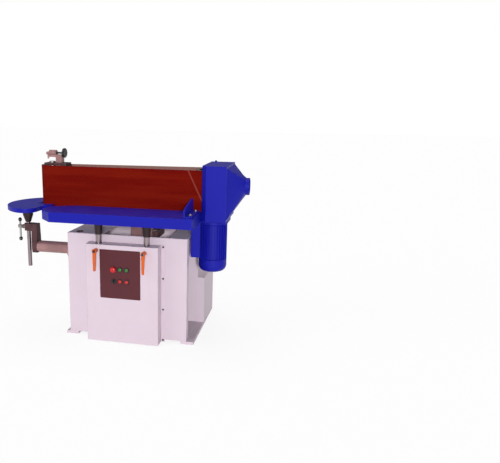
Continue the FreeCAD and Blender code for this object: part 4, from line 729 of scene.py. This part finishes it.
def floor_and_background():
    """A pale floor that keeps the shadow, and a white background."""
    floor_size, glow_share, glow = 80, 0.80, 1.05
    world_colour, world_strength = (1.0, 0.94, 0.95, 1), 0.30
    let_go()
    bpy.ops.mesh.primitive_plane_add(size=floor_size, location=(0, 0, 0))
    floor = bpy.context.object
    floor.name = "floor"
    material = bpy.data.materials.new("Pale floor")
    material.use_nodes = True
    tree = material.node_tree
    shader = tree.nodes["Principled BSDF"]
    shader.inputs["Base Color"].default_value = (0.92, 0.92, 0.92, 1)
    shader.inputs["Roughness"].default_value = 1.0
    shader.inputs["Specular IOR Level"].default_value = 0.0
    white = tree.nodes.new("ShaderNodeEmission")
    white.inputs["Color"].default_value = (1, 1, 1, 1)
    white.inputs["Strength"].default_value = glow
    kinds = ("Is Camera Ray", "Is Glossy Ray", "Is Transmission Ray")
    shown_to(tree, kinds, glow_share, shader, white, tree.nodes["Material Output"].inputs["Surface"])
    floor.data.materials.append(material)

    world = bpy.data.worlds.new("Studio")
    bpy.context.scene.world = world
    world.use_nodes = True
    tree = world.node_tree
    light = tree.nodes["Background"]
    light.inputs["Color"].default_value = world_colour
    light.inputs["Strength"].default_value = world_strength
    seen_light = tree.nodes.new("ShaderNodeBackground")
    seen_light.inputs["Color"].default_value = (1, 1, 1, 1)
    kinds = ("Is Camera Ray", "Is Transmission Ray")
    shown_to(tree, kinds, 1.0, light, seen_light, tree.nodes["World Output"].inputs["Surface"])


def lamps():
    """A key beside the camera, a fill from the left and a soft lamp overhead."""
    aimed_at = Vector((0, 0, 0.6))
    for name, place, strength, spread in (
        ("key_lamp", (1.1, -3.6, 1.4), 2.35, 8),
        ("fill_lamp", (-3.0, -2.0, 2.2), 0.6, 40),
        ("top_lamp", (-0.4, 0.2, 4.0), 0.9, 50),
    ):
        let_go()
        bpy.ops.object.light_add(type="SUN", location=place)
        lamp = bpy.context.object
        lamp.name = name
        lamp.data.energy = strength
        lamp.data.angle = math.radians(spread)
        lamp.rotation_euler = (aimed_at - Vector(place)).to_track_quat("-Z", "Y").to_euler()


def camera():
    """The photograph's viewpoint, worked out from the machine's corners in a frame of 500 by 463."""
    across, down, film = 500, 463, 36
    middle_px, focal = (190.0, 231.5), 551.8
    stand = (0.99867, -3.28838, 1.32685)
    turn, tip, roll = (math.radians(angle) for angle in (12.01, 12.06, 0.77))
    let_go()
    bpy.ops.object.camera_add(location=stand)
    seen_by = bpy.context.object
    seen_by.name = "photo_camera"
    level = math.cos(tip)
    forward = Vector((-math.sin(turn) * level, math.cos(turn) * level, -math.sin(tip)))
    right = Vector((math.cos(turn), math.sin(turn), 0))
    up = right.cross(forward)
    rolled_right = right * math.cos(roll) + up * math.sin(roll)
    rolled_up = up * math.cos(roll) - right * math.sin(roll)
    seen_by.rotation_euler = Matrix((rolled_right, rolled_up, -forward)).transposed().to_euler()
    seen_by.data.sensor_width = film
    seen_by.data.lens = focal * film / across
    seen_by.data.shift_x = (across / 2 - middle_px[0]) / across
    seen_by.data.shift_y = (middle_px[1] - down / 2) / across
    bpy.context.scene.camera = seen_by


class BuildCabinet(bpy.types.Operator):
    """Cabinet, rear box and foot rails in cream enamel"""

    bl_idname = "edge_sander.cabinet"
    bl_label = "Cabinet"

    def execute(self, context):
        look = look_settings()
        for node in ("cabinet_shell", "cabinet_top", "cabinet_floor", "rear_box", "control_box"):
            dressed(node, look.sheet_edge)
        for node in ("left_foot_rail", "right_foot_rail"):
            dressed(node, look.machined_edge)
        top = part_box("cabinet_top")[1].z
        lifting_hole = (-0.309, -0.286, top)
        steps = [(0, 21), (1.6, 21), (3.2, 18.5), (3.2, 8), (2, 6.5), (2, 2)]
        plug = turned(steps, lifting_hole)
        finished(plug, "lifting_hole_plug", "cabinet_top", "dark_casting")
        return {"FINISHED"}


class BuildCoverScrews(bpy.types.Operator):
    """Cross recessed pan head screws of the control box and its panel"""

    bl_idname = "edge_sander.cover_screws"
    bl_label = "Cover screws"

    def execute(self, context):
        pattern = pan_head()
        box_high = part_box("control_box")[1]
        panel_low, panel_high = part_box("control_panel")
        screws_low, screws_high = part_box("cover_screws")
        edge = 5.5 * MM
        flange_y = box_high.y - 2 * MM
        low, high = screws_low.z + edge, screws_high.z - edge
        left, right = screws_low.x + edge, screws_high.x - edge
        levels = [low + step * (high - low) / 3 for step in range(4)]
        inset = 11 * MM
        panel_places = [
            (x, panel_low.y, z)
            for x in (panel_low.x + inset, panel_high.x - inset)
            for z in (panel_low.z + inset, panel_high.z - inset)
        ]
        sets = (
            ("left_flange", [(left, flange_y, level) for level in levels], "cabinet_paint"),
            ("right_flange", [(right, flange_y, level) for level in levels], "black_steel"),
            ("panel", panel_places, "panel_paint"),
        )
        for kind, spots, finish in sets:
            screws = joined([copied(pattern, spot) for spot in spots])
            finished(screws, f"{kind}_screws", "cover_screws", finish, ("cover_screws",))
        bpy.data.objects.remove(pattern)
        return {"FINISHED"}


def pan_head():
    """A pan head with a cross recess, facing the front at the origin."""
    head = turned([(0, 5.5), (1.4, 5.5), (2.4, 4.7), (3.0, 3.2), (3.2, 1.6)], (0, 0, 0), "-Y", 32)
    for size in ((4.6, 1.1), (1.1, 4.6)):
        across, up = (part * MM / 2 for part in size)
        cutter = cuboid((-across, -5 * MM, -up), (across, -1.7 * MM, up))
        combined(head, cutter, "DIFFERENCE")
    return head


# Profiles from the face of the control panel: (height, radius) in millimetres
STEM = [(-30, 3), (-2, 3), (-2, 9.7)]
BUTTON = STEM + [(5.6, 9.7), (6.6, 9.3), (7.3, 8.2), (7.8, 5.5), (8, 2)]
MUSHROOM = STEM + [(9.5, 9.7), (9.5, 14.6), (11, 16.6), (13, 17), (15, 16.7), (17.5, 15.2)]
MUSHROOM += [(19.6, 12.6), (21.2, 9), (22.1, 5), (22.4, 1.5)]
KNOB_BASE = STEM + [(6.6, 9.7), (8, 8.6)]
BUTTONS = tuple(
    f"{drive}_{act}_button" for drive in ("belt", "oscillation") for act in ("start", "stop")
)


class BuildSwitches(bpy.types.Operator):
    """Control panel plate with its switches"""

    bl_idname = "edge_sander.switches"
    bl_label = "Switches"

    def execute(self, context):
        look = look_settings()
        dressed("control_panel", look.sheet_edge)
        dressed("contactors", look.machined_edge)
        dressed("switch_bodies", 0.0004, finish="black_plastic")
        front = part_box("control_panel")[0].y
        for node in BUTTONS:
            cap = turned(BUTTON, (middle(node).x, front, middle(node).z), "-Y")
            finished(cap, f"{node}_cap", node, stands_for=(node,), crease=50)
        node = "emergency_stop"
        mushroom = turned(MUSHROOM, (middle(node).x, front, middle(node).z), "-Y", 64)
        finished(mushroom, f"{node}_head", node, stands_for=(node,), crease=40)
        place = middle("selector_knob")
        base = turned(KNOB_BASE, (place.x, front, place.z), "-Y")
        across, up, outer, inner = 3 * MM, 8.9 * MM, front - 17 * MM, front - 6 * MM
        low, high = (place.x - across, outer, place.z - up), (place.x + across, inner, place.z + up)
        grip = cuboid(low, high)
        pick(grip, "FACE", lambda face: face.normal.y < -0.9)
        bpy.ops.transform.resize(value=(0.62, 1, 0.9), center_override=(place.x, outer, place.z))
        bpy.ops.object.mode_set(mode="OBJECT")
        rounded(grip, 0.0009, 3)
        knob = joined([base, grip])
        finished(knob, "selector_grip", "selector_knob", stands_for=("selector_knob",))
        return {"FINISHED"}


class BuildLevers(bpy.types.Operator):
    """Orange clamping levers, each held by a dark screw"""

    bl_idname = "edge_sander.levers"
    bl_label = "Locking levers"

    def execute(self, context):
        for side in ("left", "right"):
            spindle = f"{side}_lever_spindle"
            grip = f"{side}_lever_grip"
            back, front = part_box(spindle)[1].y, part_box(spindle)[0].y
            low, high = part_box(grip)
            across, up = middle(spindle).x, middle(spindle).z
            reach = (back - front) / MM
            boss_foot = (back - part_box("control_box")[0].y) / MM + 1
            blade_back = (back - high.y) / MM
            steps = [(0, 6.6), (1.2, 8), (blade_back, 8), (blade_back, 6), (reach - 7, 6)]
            steps += [(reach - 7, 8.4), (reach - 2, 8.4), (reach - 0.6, 7.2), (reach - 0.6, 4)]
            steps += [(reach - 3, 4), (reach - 3, 1)]
            screw = turned(steps, (across, back, up), "-Y")
            finished(screw, f"{side}_lever_screw", spindle, "dark_casting", (spindle,))
            steps = [(boss_foot, 8.1), (boss_foot, 11.6), (boss_foot + 1, 12.4)]
            steps += [(blade_back, 13), (blade_back, 8.1)]
            boss = turned(steps, (across, back, up), "-Y")
            finished(boss, f"{side}_lever_boss", grip)
            blade = lever_blade(across, up, low, high)
            finished(blade, f"{side}_lever_blade", grip, stands_for=(grip,), crease=40)
        return {"FINISHED"}


def lever_blade(across, up, low, high):
    """A round eye that runs into a tapering blade, in one moulding."""
    thick = (high.y - low.y) / MM
    steps = [(0, 12.6), (1, 13.6), (thick - 1.5, 13.6), (thick, 12.2)]
    eye = turned(steps, (across, high.y, up), "-Y", 64)
    blade = cuboid((across - 11 * MM, low.y, low.z), (across + 11 * MM, high.y, up))
    pick(blade, "VERT", lambda vertex: vertex.co.z < low.z + MM)
    centre = (across, (low.y + high.y) / 2, low.z)
    bpy.ops.transform.resize(value=(0.64, 0.8, 1), center_override=centre)
    bpy.ops.transform.translate(value=(-2 * MM, 0, 0))
    bpy.ops.object.mode_set(mode="OBJECT")
    rounded(blade, 0.0028, 4, 25)
    combined(blade, eye, "UNION")
    return blade


class BuildTable(bpy.types.Operator):
    """Main table, work stop and skirt in blue enamel"""

    bl_idname = "edge_sander.table"
    bl_label = "Table"

    def execute(self, context):
        look = look_settings()
        dressed("main_table", look.casting_edge, 3)
        dressed("dust_skirt", look.sheet_edge)
        work_stop(look.casting_edge)
        low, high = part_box("stop_bolts")
        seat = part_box("main_table")[1].z + 10 * MM
        radius = (high.x - low.x) / 2
        bolts = []
        for along in (low.y + radius, high.y - radius):
            bolts.append(hex_bolt((low.x + radius, along, seat), 13, 7))
            shank_foot = (low.x + radius, along, seat - 10 * MM)
            bolts.append(turned([(0, 4.6), (10, 4.6)], shank_foot, sides=24))
        bolts = joined(bolts)
        finished(bolts, "stop_bolts_hexagon", "stop_bolts", stands_for=("stop_bolts",))
        return {"FINISHED"}


def work_stop(edge):
    """An upright plate that rises towards the belt, on a foot that is bolted down."""
    node = "work_stop"
    low, high = (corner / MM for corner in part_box(node))
    thick = 10
    front, back, foot, crest = low.y, high.y, low.z, high.z
    profile = [(foot, front + 3), (foot + 24, front + 3), (foot + 40, front + 12)]
    profile += [(foot + 50, front + 34), (crest - 5, back - 60), (crest, back - 26)]
    profile += [(crest - 1, back - 12), (crest - 8, back - 3), (crest - 18, back), (foot, back)]
    plate = outlined([(-level, place) for level, place in profile], low.x, low.x + thick)
    put(plate, (0, 0, 0), "+X")
    corner = 14
    sole = [(low.x, front), (high.x - corner, front), (high.x, front + corner)]
    sole += [(high.x, back - corner), (high.x - corner, back), (low.x, back)]
    sole = outlined(sole, foot, foot + thick)
    combined(plate, sole, "UNION")
    rounded(plate, edge, 3)
    finished(plate, "work_stop_cast", node, stands_for=(node,), crease=40)


class BuildPosts(bpy.types.Operator):
    """Ground table posts and their dark flanges"""

    bl_idname = "edge_sander.posts"
    bl_label = "Table posts"

    def execute(self, context):
        for side in ("left", "right"):
            node = f"{side}_table_post"
            foot, length, radius = upright(node)
            steps = [(30, radius - 4), (0, radius - 4), (0, radius - 1), (1, radius), (length, radius)]
            post = turned(steps, foot, sides=64)
            finished(post, f"{side}_post_ground", node, stands_for=(node,))
            node = f"{side}_post_flange"
            foot, height, outer = upright(node)
            bore = radius + 0.06
            steps = [(height, bore), (0, bore), (0, 20.4), (0.8, 21), (height * 0.35, 22)]
            steps += [(height - 20, 24.2), (height - 10, outer - 2), (height - 7, outer)]
            steps += [(height - 0.6, outer), (height, outer - 0.6)]
            flange = turned(steps, foot, sides=64)
            finished(flange, f"{side}_flange_cast", node, "black_steel", (node,))
        return {"FINISHED"}


class BuildBelt(bpy.types.Operator):
    """Abrasive belt with its platen"""

    bl_idname = "edge_sander.belt"
    bl_label = "Belt"

    def execute(self, context):
        belt = dressed("abrasive_belt", 0)
        drive, idler = middle("drive_drum"), middle("idler_drum")
        along = (drive - idler).to_2d()
        inner = belt.data.attributes.new(CLOTH_SIDE, "FLOAT", "FACE")
        for face in belt.data.polygons:
            flat = face.center.to_2d() - idler.to_2d()
            share = min(1.0, max(0.0, flat.dot(along) / along.length_squared))
            outward = flat - along * share
            inner.data[face.index].value = 1.0 if face.normal.to_2d().dot(outward) < 0 else 0.0
        dressed("platen", look_settings().machined_edge)
        return {"FINISHED"}


class BuildDrums(bpy.types.Operator):
    """Drive drum, idler drum and their shafts"""

    bl_idname = "edge_sander.drums"
    bl_label = "Drums"

    def execute(self, context):
        for node in ("drive_drum", "drum_cover", "motor_shaft", "idler_drum", "idler_axle"):
            dressed(node, look_settings().machined_edge)
        return {"FINISHED"}


class BuildHead(bpy.types.Operator):
    """Head frame, idler carriage, slide and the drive in the cabinet"""

    bl_idname = "edge_sander.head"
    bl_label = "Head and slide"

    def execute(self, context):
        look = look_settings()
        for node in ("head_frame", "lower_guide_bracket", "upper_guide_bracket"):
            dressed(node, look.casting_edge)
        for node, finish in (("slide_block", "tube_steel"), ("idler_carriage", "dark_casting")):
            dressed(node, look.casting_edge, finish=finish)
        for node in ("left_post_guide", "right_post_guide", "gearmotor"):
            dressed(node, look.casting_edge)
        for node in ("slide_bushes", "guide_bars", "eccentric"):
            dressed(node, look.machined_edge)
        dressed("tracking_bracket", look.machined_edge, finish="tube_steel")
        return {"FINISHED"}


class BuildTrackingKnob(bpy.types.Operator):
    """Fluted knob of the belt tracking screw"""

    bl_idname = "edge_sander.tracking_knob"
    bl_label = "Tracking knob"

    def execute(self, context):
        node = "tracking_knob"
        low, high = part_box(node)
        centre = middle(node)
        radius = (high.z - low.z) / 2 / MM
        length = (high.x - low.x) / MM
        face = length - 16
        steps = [(0, 5), (0.8, 6)]
        thread = 2.0
        while steps[-1][0] < face - 8:
            steps += [(steps[-1][0] + thread / 2, 5.3), (steps[-1][0] + thread, 6)]
        steps += [(face - 4, 6), (face - 4, 13), (face, 13), (face, radius - 4)]
        steps += [(face + 1.2, radius - 1.4), (face + 3.5, radius), (length - 3.5, radius)]
        steps += [(length - 1.2, radius - 1.4), (length, radius - 4), (length, 12)]
        steps += [(length - 2, 10.5), (length - 2, 3)]
        knob = turned(steps, (low.x, centre.y, centre.z), "+X", 90)
        flutes, half_width = 9, 8.5
        rim = low.x + (face - 0.5) * MM

        def in_a_flute(vertex):
            across, up = vertex.co.y - centre.y, vertex.co.z - centre.z
            angle = math.degrees(math.atan2(up, across)) % (360 / flutes)
            outer = math.hypot(up, across) > (radius - 5) * MM
            return outer and vertex.co.x > rim and abs(angle - 180 / flutes) < half_width

        pick(knob, "VERT", in_a_flute)
        bpy.ops.transform.resize(value=(1, 0.9, 0.9), center_override=tuple(centre))
        bpy.ops.object.mode_set(mode="OBJECT")
        rounded(knob, 0.0008, 2, 40)
        finished(knob, "tracking_knob_fluted", node, stands_for=(node,), crease=45)
        return {"FINISHED"}


class BuildHood(bpy.types.Operator):
    """Dust hood, funnel and the hood's screw knob"""

    bl_idname = "edge_sander.hood"
    bl_label = "Dust hood"

    def execute(self, context):
        look = look_settings()
        dressed("dust_hood", look.sheet_edge, 3)
        dressed("dust_funnel", look.sheet_edge, 2)
        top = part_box("dust_hood")[1].z
        bolt_place = (0.446, 0.045, top)
        bolt = hex_bolt(bolt_place, 12, 7)
        finished(bolt, "hood_bolt", "dust_hood")
        return {"FINISHED"}


class BuildMotor(bpy.types.Operator):
    """Finned motor, fan cowl and terminal box"""

    bl_idname = "edge_sander.motor"
    bl_label = "Motor"

    def execute(self, context):
        look = look_settings()
        dressed("motor_housing", look.machined_edge)
        domed_cowl(look.machined_edge)
        dressed("terminal_box", look.casting_edge)
        return {"FINISHED"}


def domed_cowl(edge):
    """A sheet cowl with a domed foot, and air slots cut round its middle."""
    node = "fan_cowl"
    foot, height, outer = upright(node)
    lift, wall, across, rise = 8, 2, 32, 38
    foot = (foot[0], foot[1], foot[2] + lift * MM)
    height -= lift
    sweep = [math.radians(angle) for angle in range(0, 91, 10)]
    dome = [(rise * (1 - math.cos(angle)), outer - across * (1 - math.sin(angle))) for angle in sweep]
    inside = [(level + wall, radius - wall) for level, radius in reversed(dome)]
    cowl = turned(dome + [(height, outer), (height, outer - wall)] + inside, foot, sides=72)
    slots, width = 18, 5
    start, end = 18, outer - across - 4
    slot = cuboid((start * MM, -width / 2 * MM, -MM), (end * MM, width / 2 * MM, 4 * MM))
    cutters = [copied(slot, (0, 0, 0)) for _ in range(slots)]
    for count, cutter in enumerate(cutters):
        cutter.data.transform(Matrix.Rotation(math.tau * count / slots, 4, "Z"))
    bpy.data.objects.remove(slot)
    combined(cowl, put(joined(cutters), foot), "DIFFERENCE")
    rounded(cowl, edge)
    finished(cowl, "fan_cowl_domed", node, stands_for=(node,), crease=40)


class BuildEndTable(bpy.types.Operator):
    """Half round table, its post, support arm and clamp"""

    bl_idname = "edge_sander.end_table"
    bl_label = "End table"

    def execute(self, context):
        look = look_settings()
        end_table_top()
        dressed("clamp_bracket", look.casting_edge, 3)
        dressed("support_arm", look.machined_edge)
        dressed("clamp_screw", look.machined_edge)
        node = "end_post"
        foot, length, outer = upright(node)
        post = turned([(0, 11), (1, 12), (length - 20, 12)], foot, sides=64)
        finished(post, "end_post_ground", node, stands_for=(node,))
        steps = [(length - 84, 12.1), (length - 84, 16), (length - 82, 17), (length - 46, outer - 2)]
        steps += [(length - 40, outer), (length - 0.5, outer), (length, outer - 0.5)]
        flange = turned(steps, foot, sides=64)
        finished(flange, "end_post_flange", node, "black_steel")
        clamp_grips()
        return {"FINISHED"}


def end_table_top():
    """A dished disc, cut out for the idler end and rounded off beside it."""
    node = "end_table"
    low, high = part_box(node)
    radius = 250
    centre = (low.x / MM + radius, low.y / MM + radius)
    bottom, top = low.z / MM, high.z / MM
    nose = high.x / MM
    side = nose - 40
    notch = middle("idler_drum").x / MM - 72
    belt_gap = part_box("abrasive_belt")[0].y / MM - 7
    foot = (centre[0] * MM, centre[1] * MM, low.z)
    disc = turned([(0, radius), (top - bottom, radius)], foot, sides=160)
    fillet = 70
    across = side - fillet
    forward = centre[1] - math.sqrt((radius - fillet) ** 2 - (across - centre[0]) ** 2)
    turn = math.atan2(forward - centre[1], across - centre[0])
    sweep = [turn * step / 12 for step in range(13)]
    arc = [(across + fillet * math.cos(angle), forward + fillet * math.sin(angle)) for angle in sweep]
    behind, before, beside = 80, centre[1] - radius - 30, -200
    cut = [(notch, behind), (notch, belt_gap), (nose, belt_gap), (nose, belt_gap - 44)]
    cut += [(nose - 8, belt_gap - 58), (nose - 22, belt_gap - 70), (side + 4, belt_gap - 84)]
    cut += [(side, belt_gap - 100), *arc, (across - 60, before), (beside, before), (beside, behind)]
    combined(disc, outlined(cut, bottom - 5, top + 5), "DIFFERENCE")
    pick(disc, "FACE", lambda face: face.normal.z < -0.9)
    bpy.ops.mesh.inset(thickness=11 * MM, use_even_offset=True)
    bpy.ops.mesh.extrude_region_move(TRANSFORM_OT_translate={"value": (0, 0, 14 * MM)})
    bpy.ops.object.mode_set(mode="OBJECT")
    rounded(disc, 0.0035, 4)
    post = middle("end_post")
    boss = turned([(0.2, 32), (0.2, 34), (15, 34), (15, 20)], (post.x, post.y, low.z))
    plate = joined([disc, boss])
    finished(plate, "end_table_cast", node, stands_for=(node,))


def clamp_grips():
    """Egg shaped black grips on the two ends of the clamp's cross bar."""
    node = "clamp_grips"
    low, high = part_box(node)
    centre = middle(node)
    steps = [(0, 5.6), (1, 7), (4, 9.4), (8, 10.8), (12, 11), (16, 10.2), (19.5, 8.4), (22, 6)]
    steps += [(23.4, 3.4), (24, 1)]
    upper = turned(steps, (centre.x, centre.y, high.z - 24 * MM), sides=32)
    lower = turned(steps, (centre.x, centre.y, low.z + 24 * MM), "-Z", 32)
    grips = joined([upper, lower])
    finished(grips, "clamp_grips_moulded", node, stands_for=(node,), crease=50)


class SanderPanel(bpy.types.Panel):
    """The sander's settings and build steps"""

    bl_idname = "VIEW3D_PT_edge_sander"
    bl_label = "Edge Sander"
    bl_space_type = "VIEW_3D"
    bl_region_type = "UI"
    bl_category = "Edge Sander"

    def draw(self, context):
        look = context.scene.edge_sander
        for name in look.bl_rna.properties.keys():
            if name not in ("rna_type", "name"):
                self.layout.prop(look, name)
        for step in BUILD_STEPS:
            self.layout.operator(step.bl_idname)


BUILD_STEPS = (
    BuildStage,
    BuildCabinet,
    BuildCoverScrews,
    BuildSwitches,
    BuildLevers,
    BuildTable,
    BuildPosts,
    BuildBelt,
    BuildDrums,
    BuildHead,
    BuildTrackingKnob,
    BuildHood,
    BuildMotor,
    BuildEndTable,
)
CLASSES = (SanderSettings, *BUILD_STEPS, SanderPanel)


def register():
    for cls in CLASSES:
        bpy.utils.register_class(cls)
    bpy.types.Scene.edge_sander = bpy.props.PointerProperty(type=SanderSettings)


def unregister():
    del bpy.types.Scene.edge_sander
    for cls in reversed(CLASSES):
        bpy.utils.unregister_class(cls)


def main():
    register()
    make_finishes(look_settings())
    bpy.ops.edge_sander.stage()
    bpy.ops.edge_sander.cabinet()
    bpy.ops.edge_sander.cover_screws()
    bpy.ops.edge_sander.switches()
    bpy.ops.edge_sander.levers()
    bpy.ops.edge_sander.table()
    bpy.ops.edge_sander.posts()
    bpy.ops.edge_sander.belt()
    bpy.ops.edge_sander.drums()
    bpy.ops.edge_sander.head()
    bpy.ops.edge_sander.tracking_knob()
    bpy.ops.edge_sander.hood()
    bpy.ops.edge_sander.motor()
    bpy.ops.edge_sander.end_table()
    let_go()


if __name__ == "__main__":
    main()
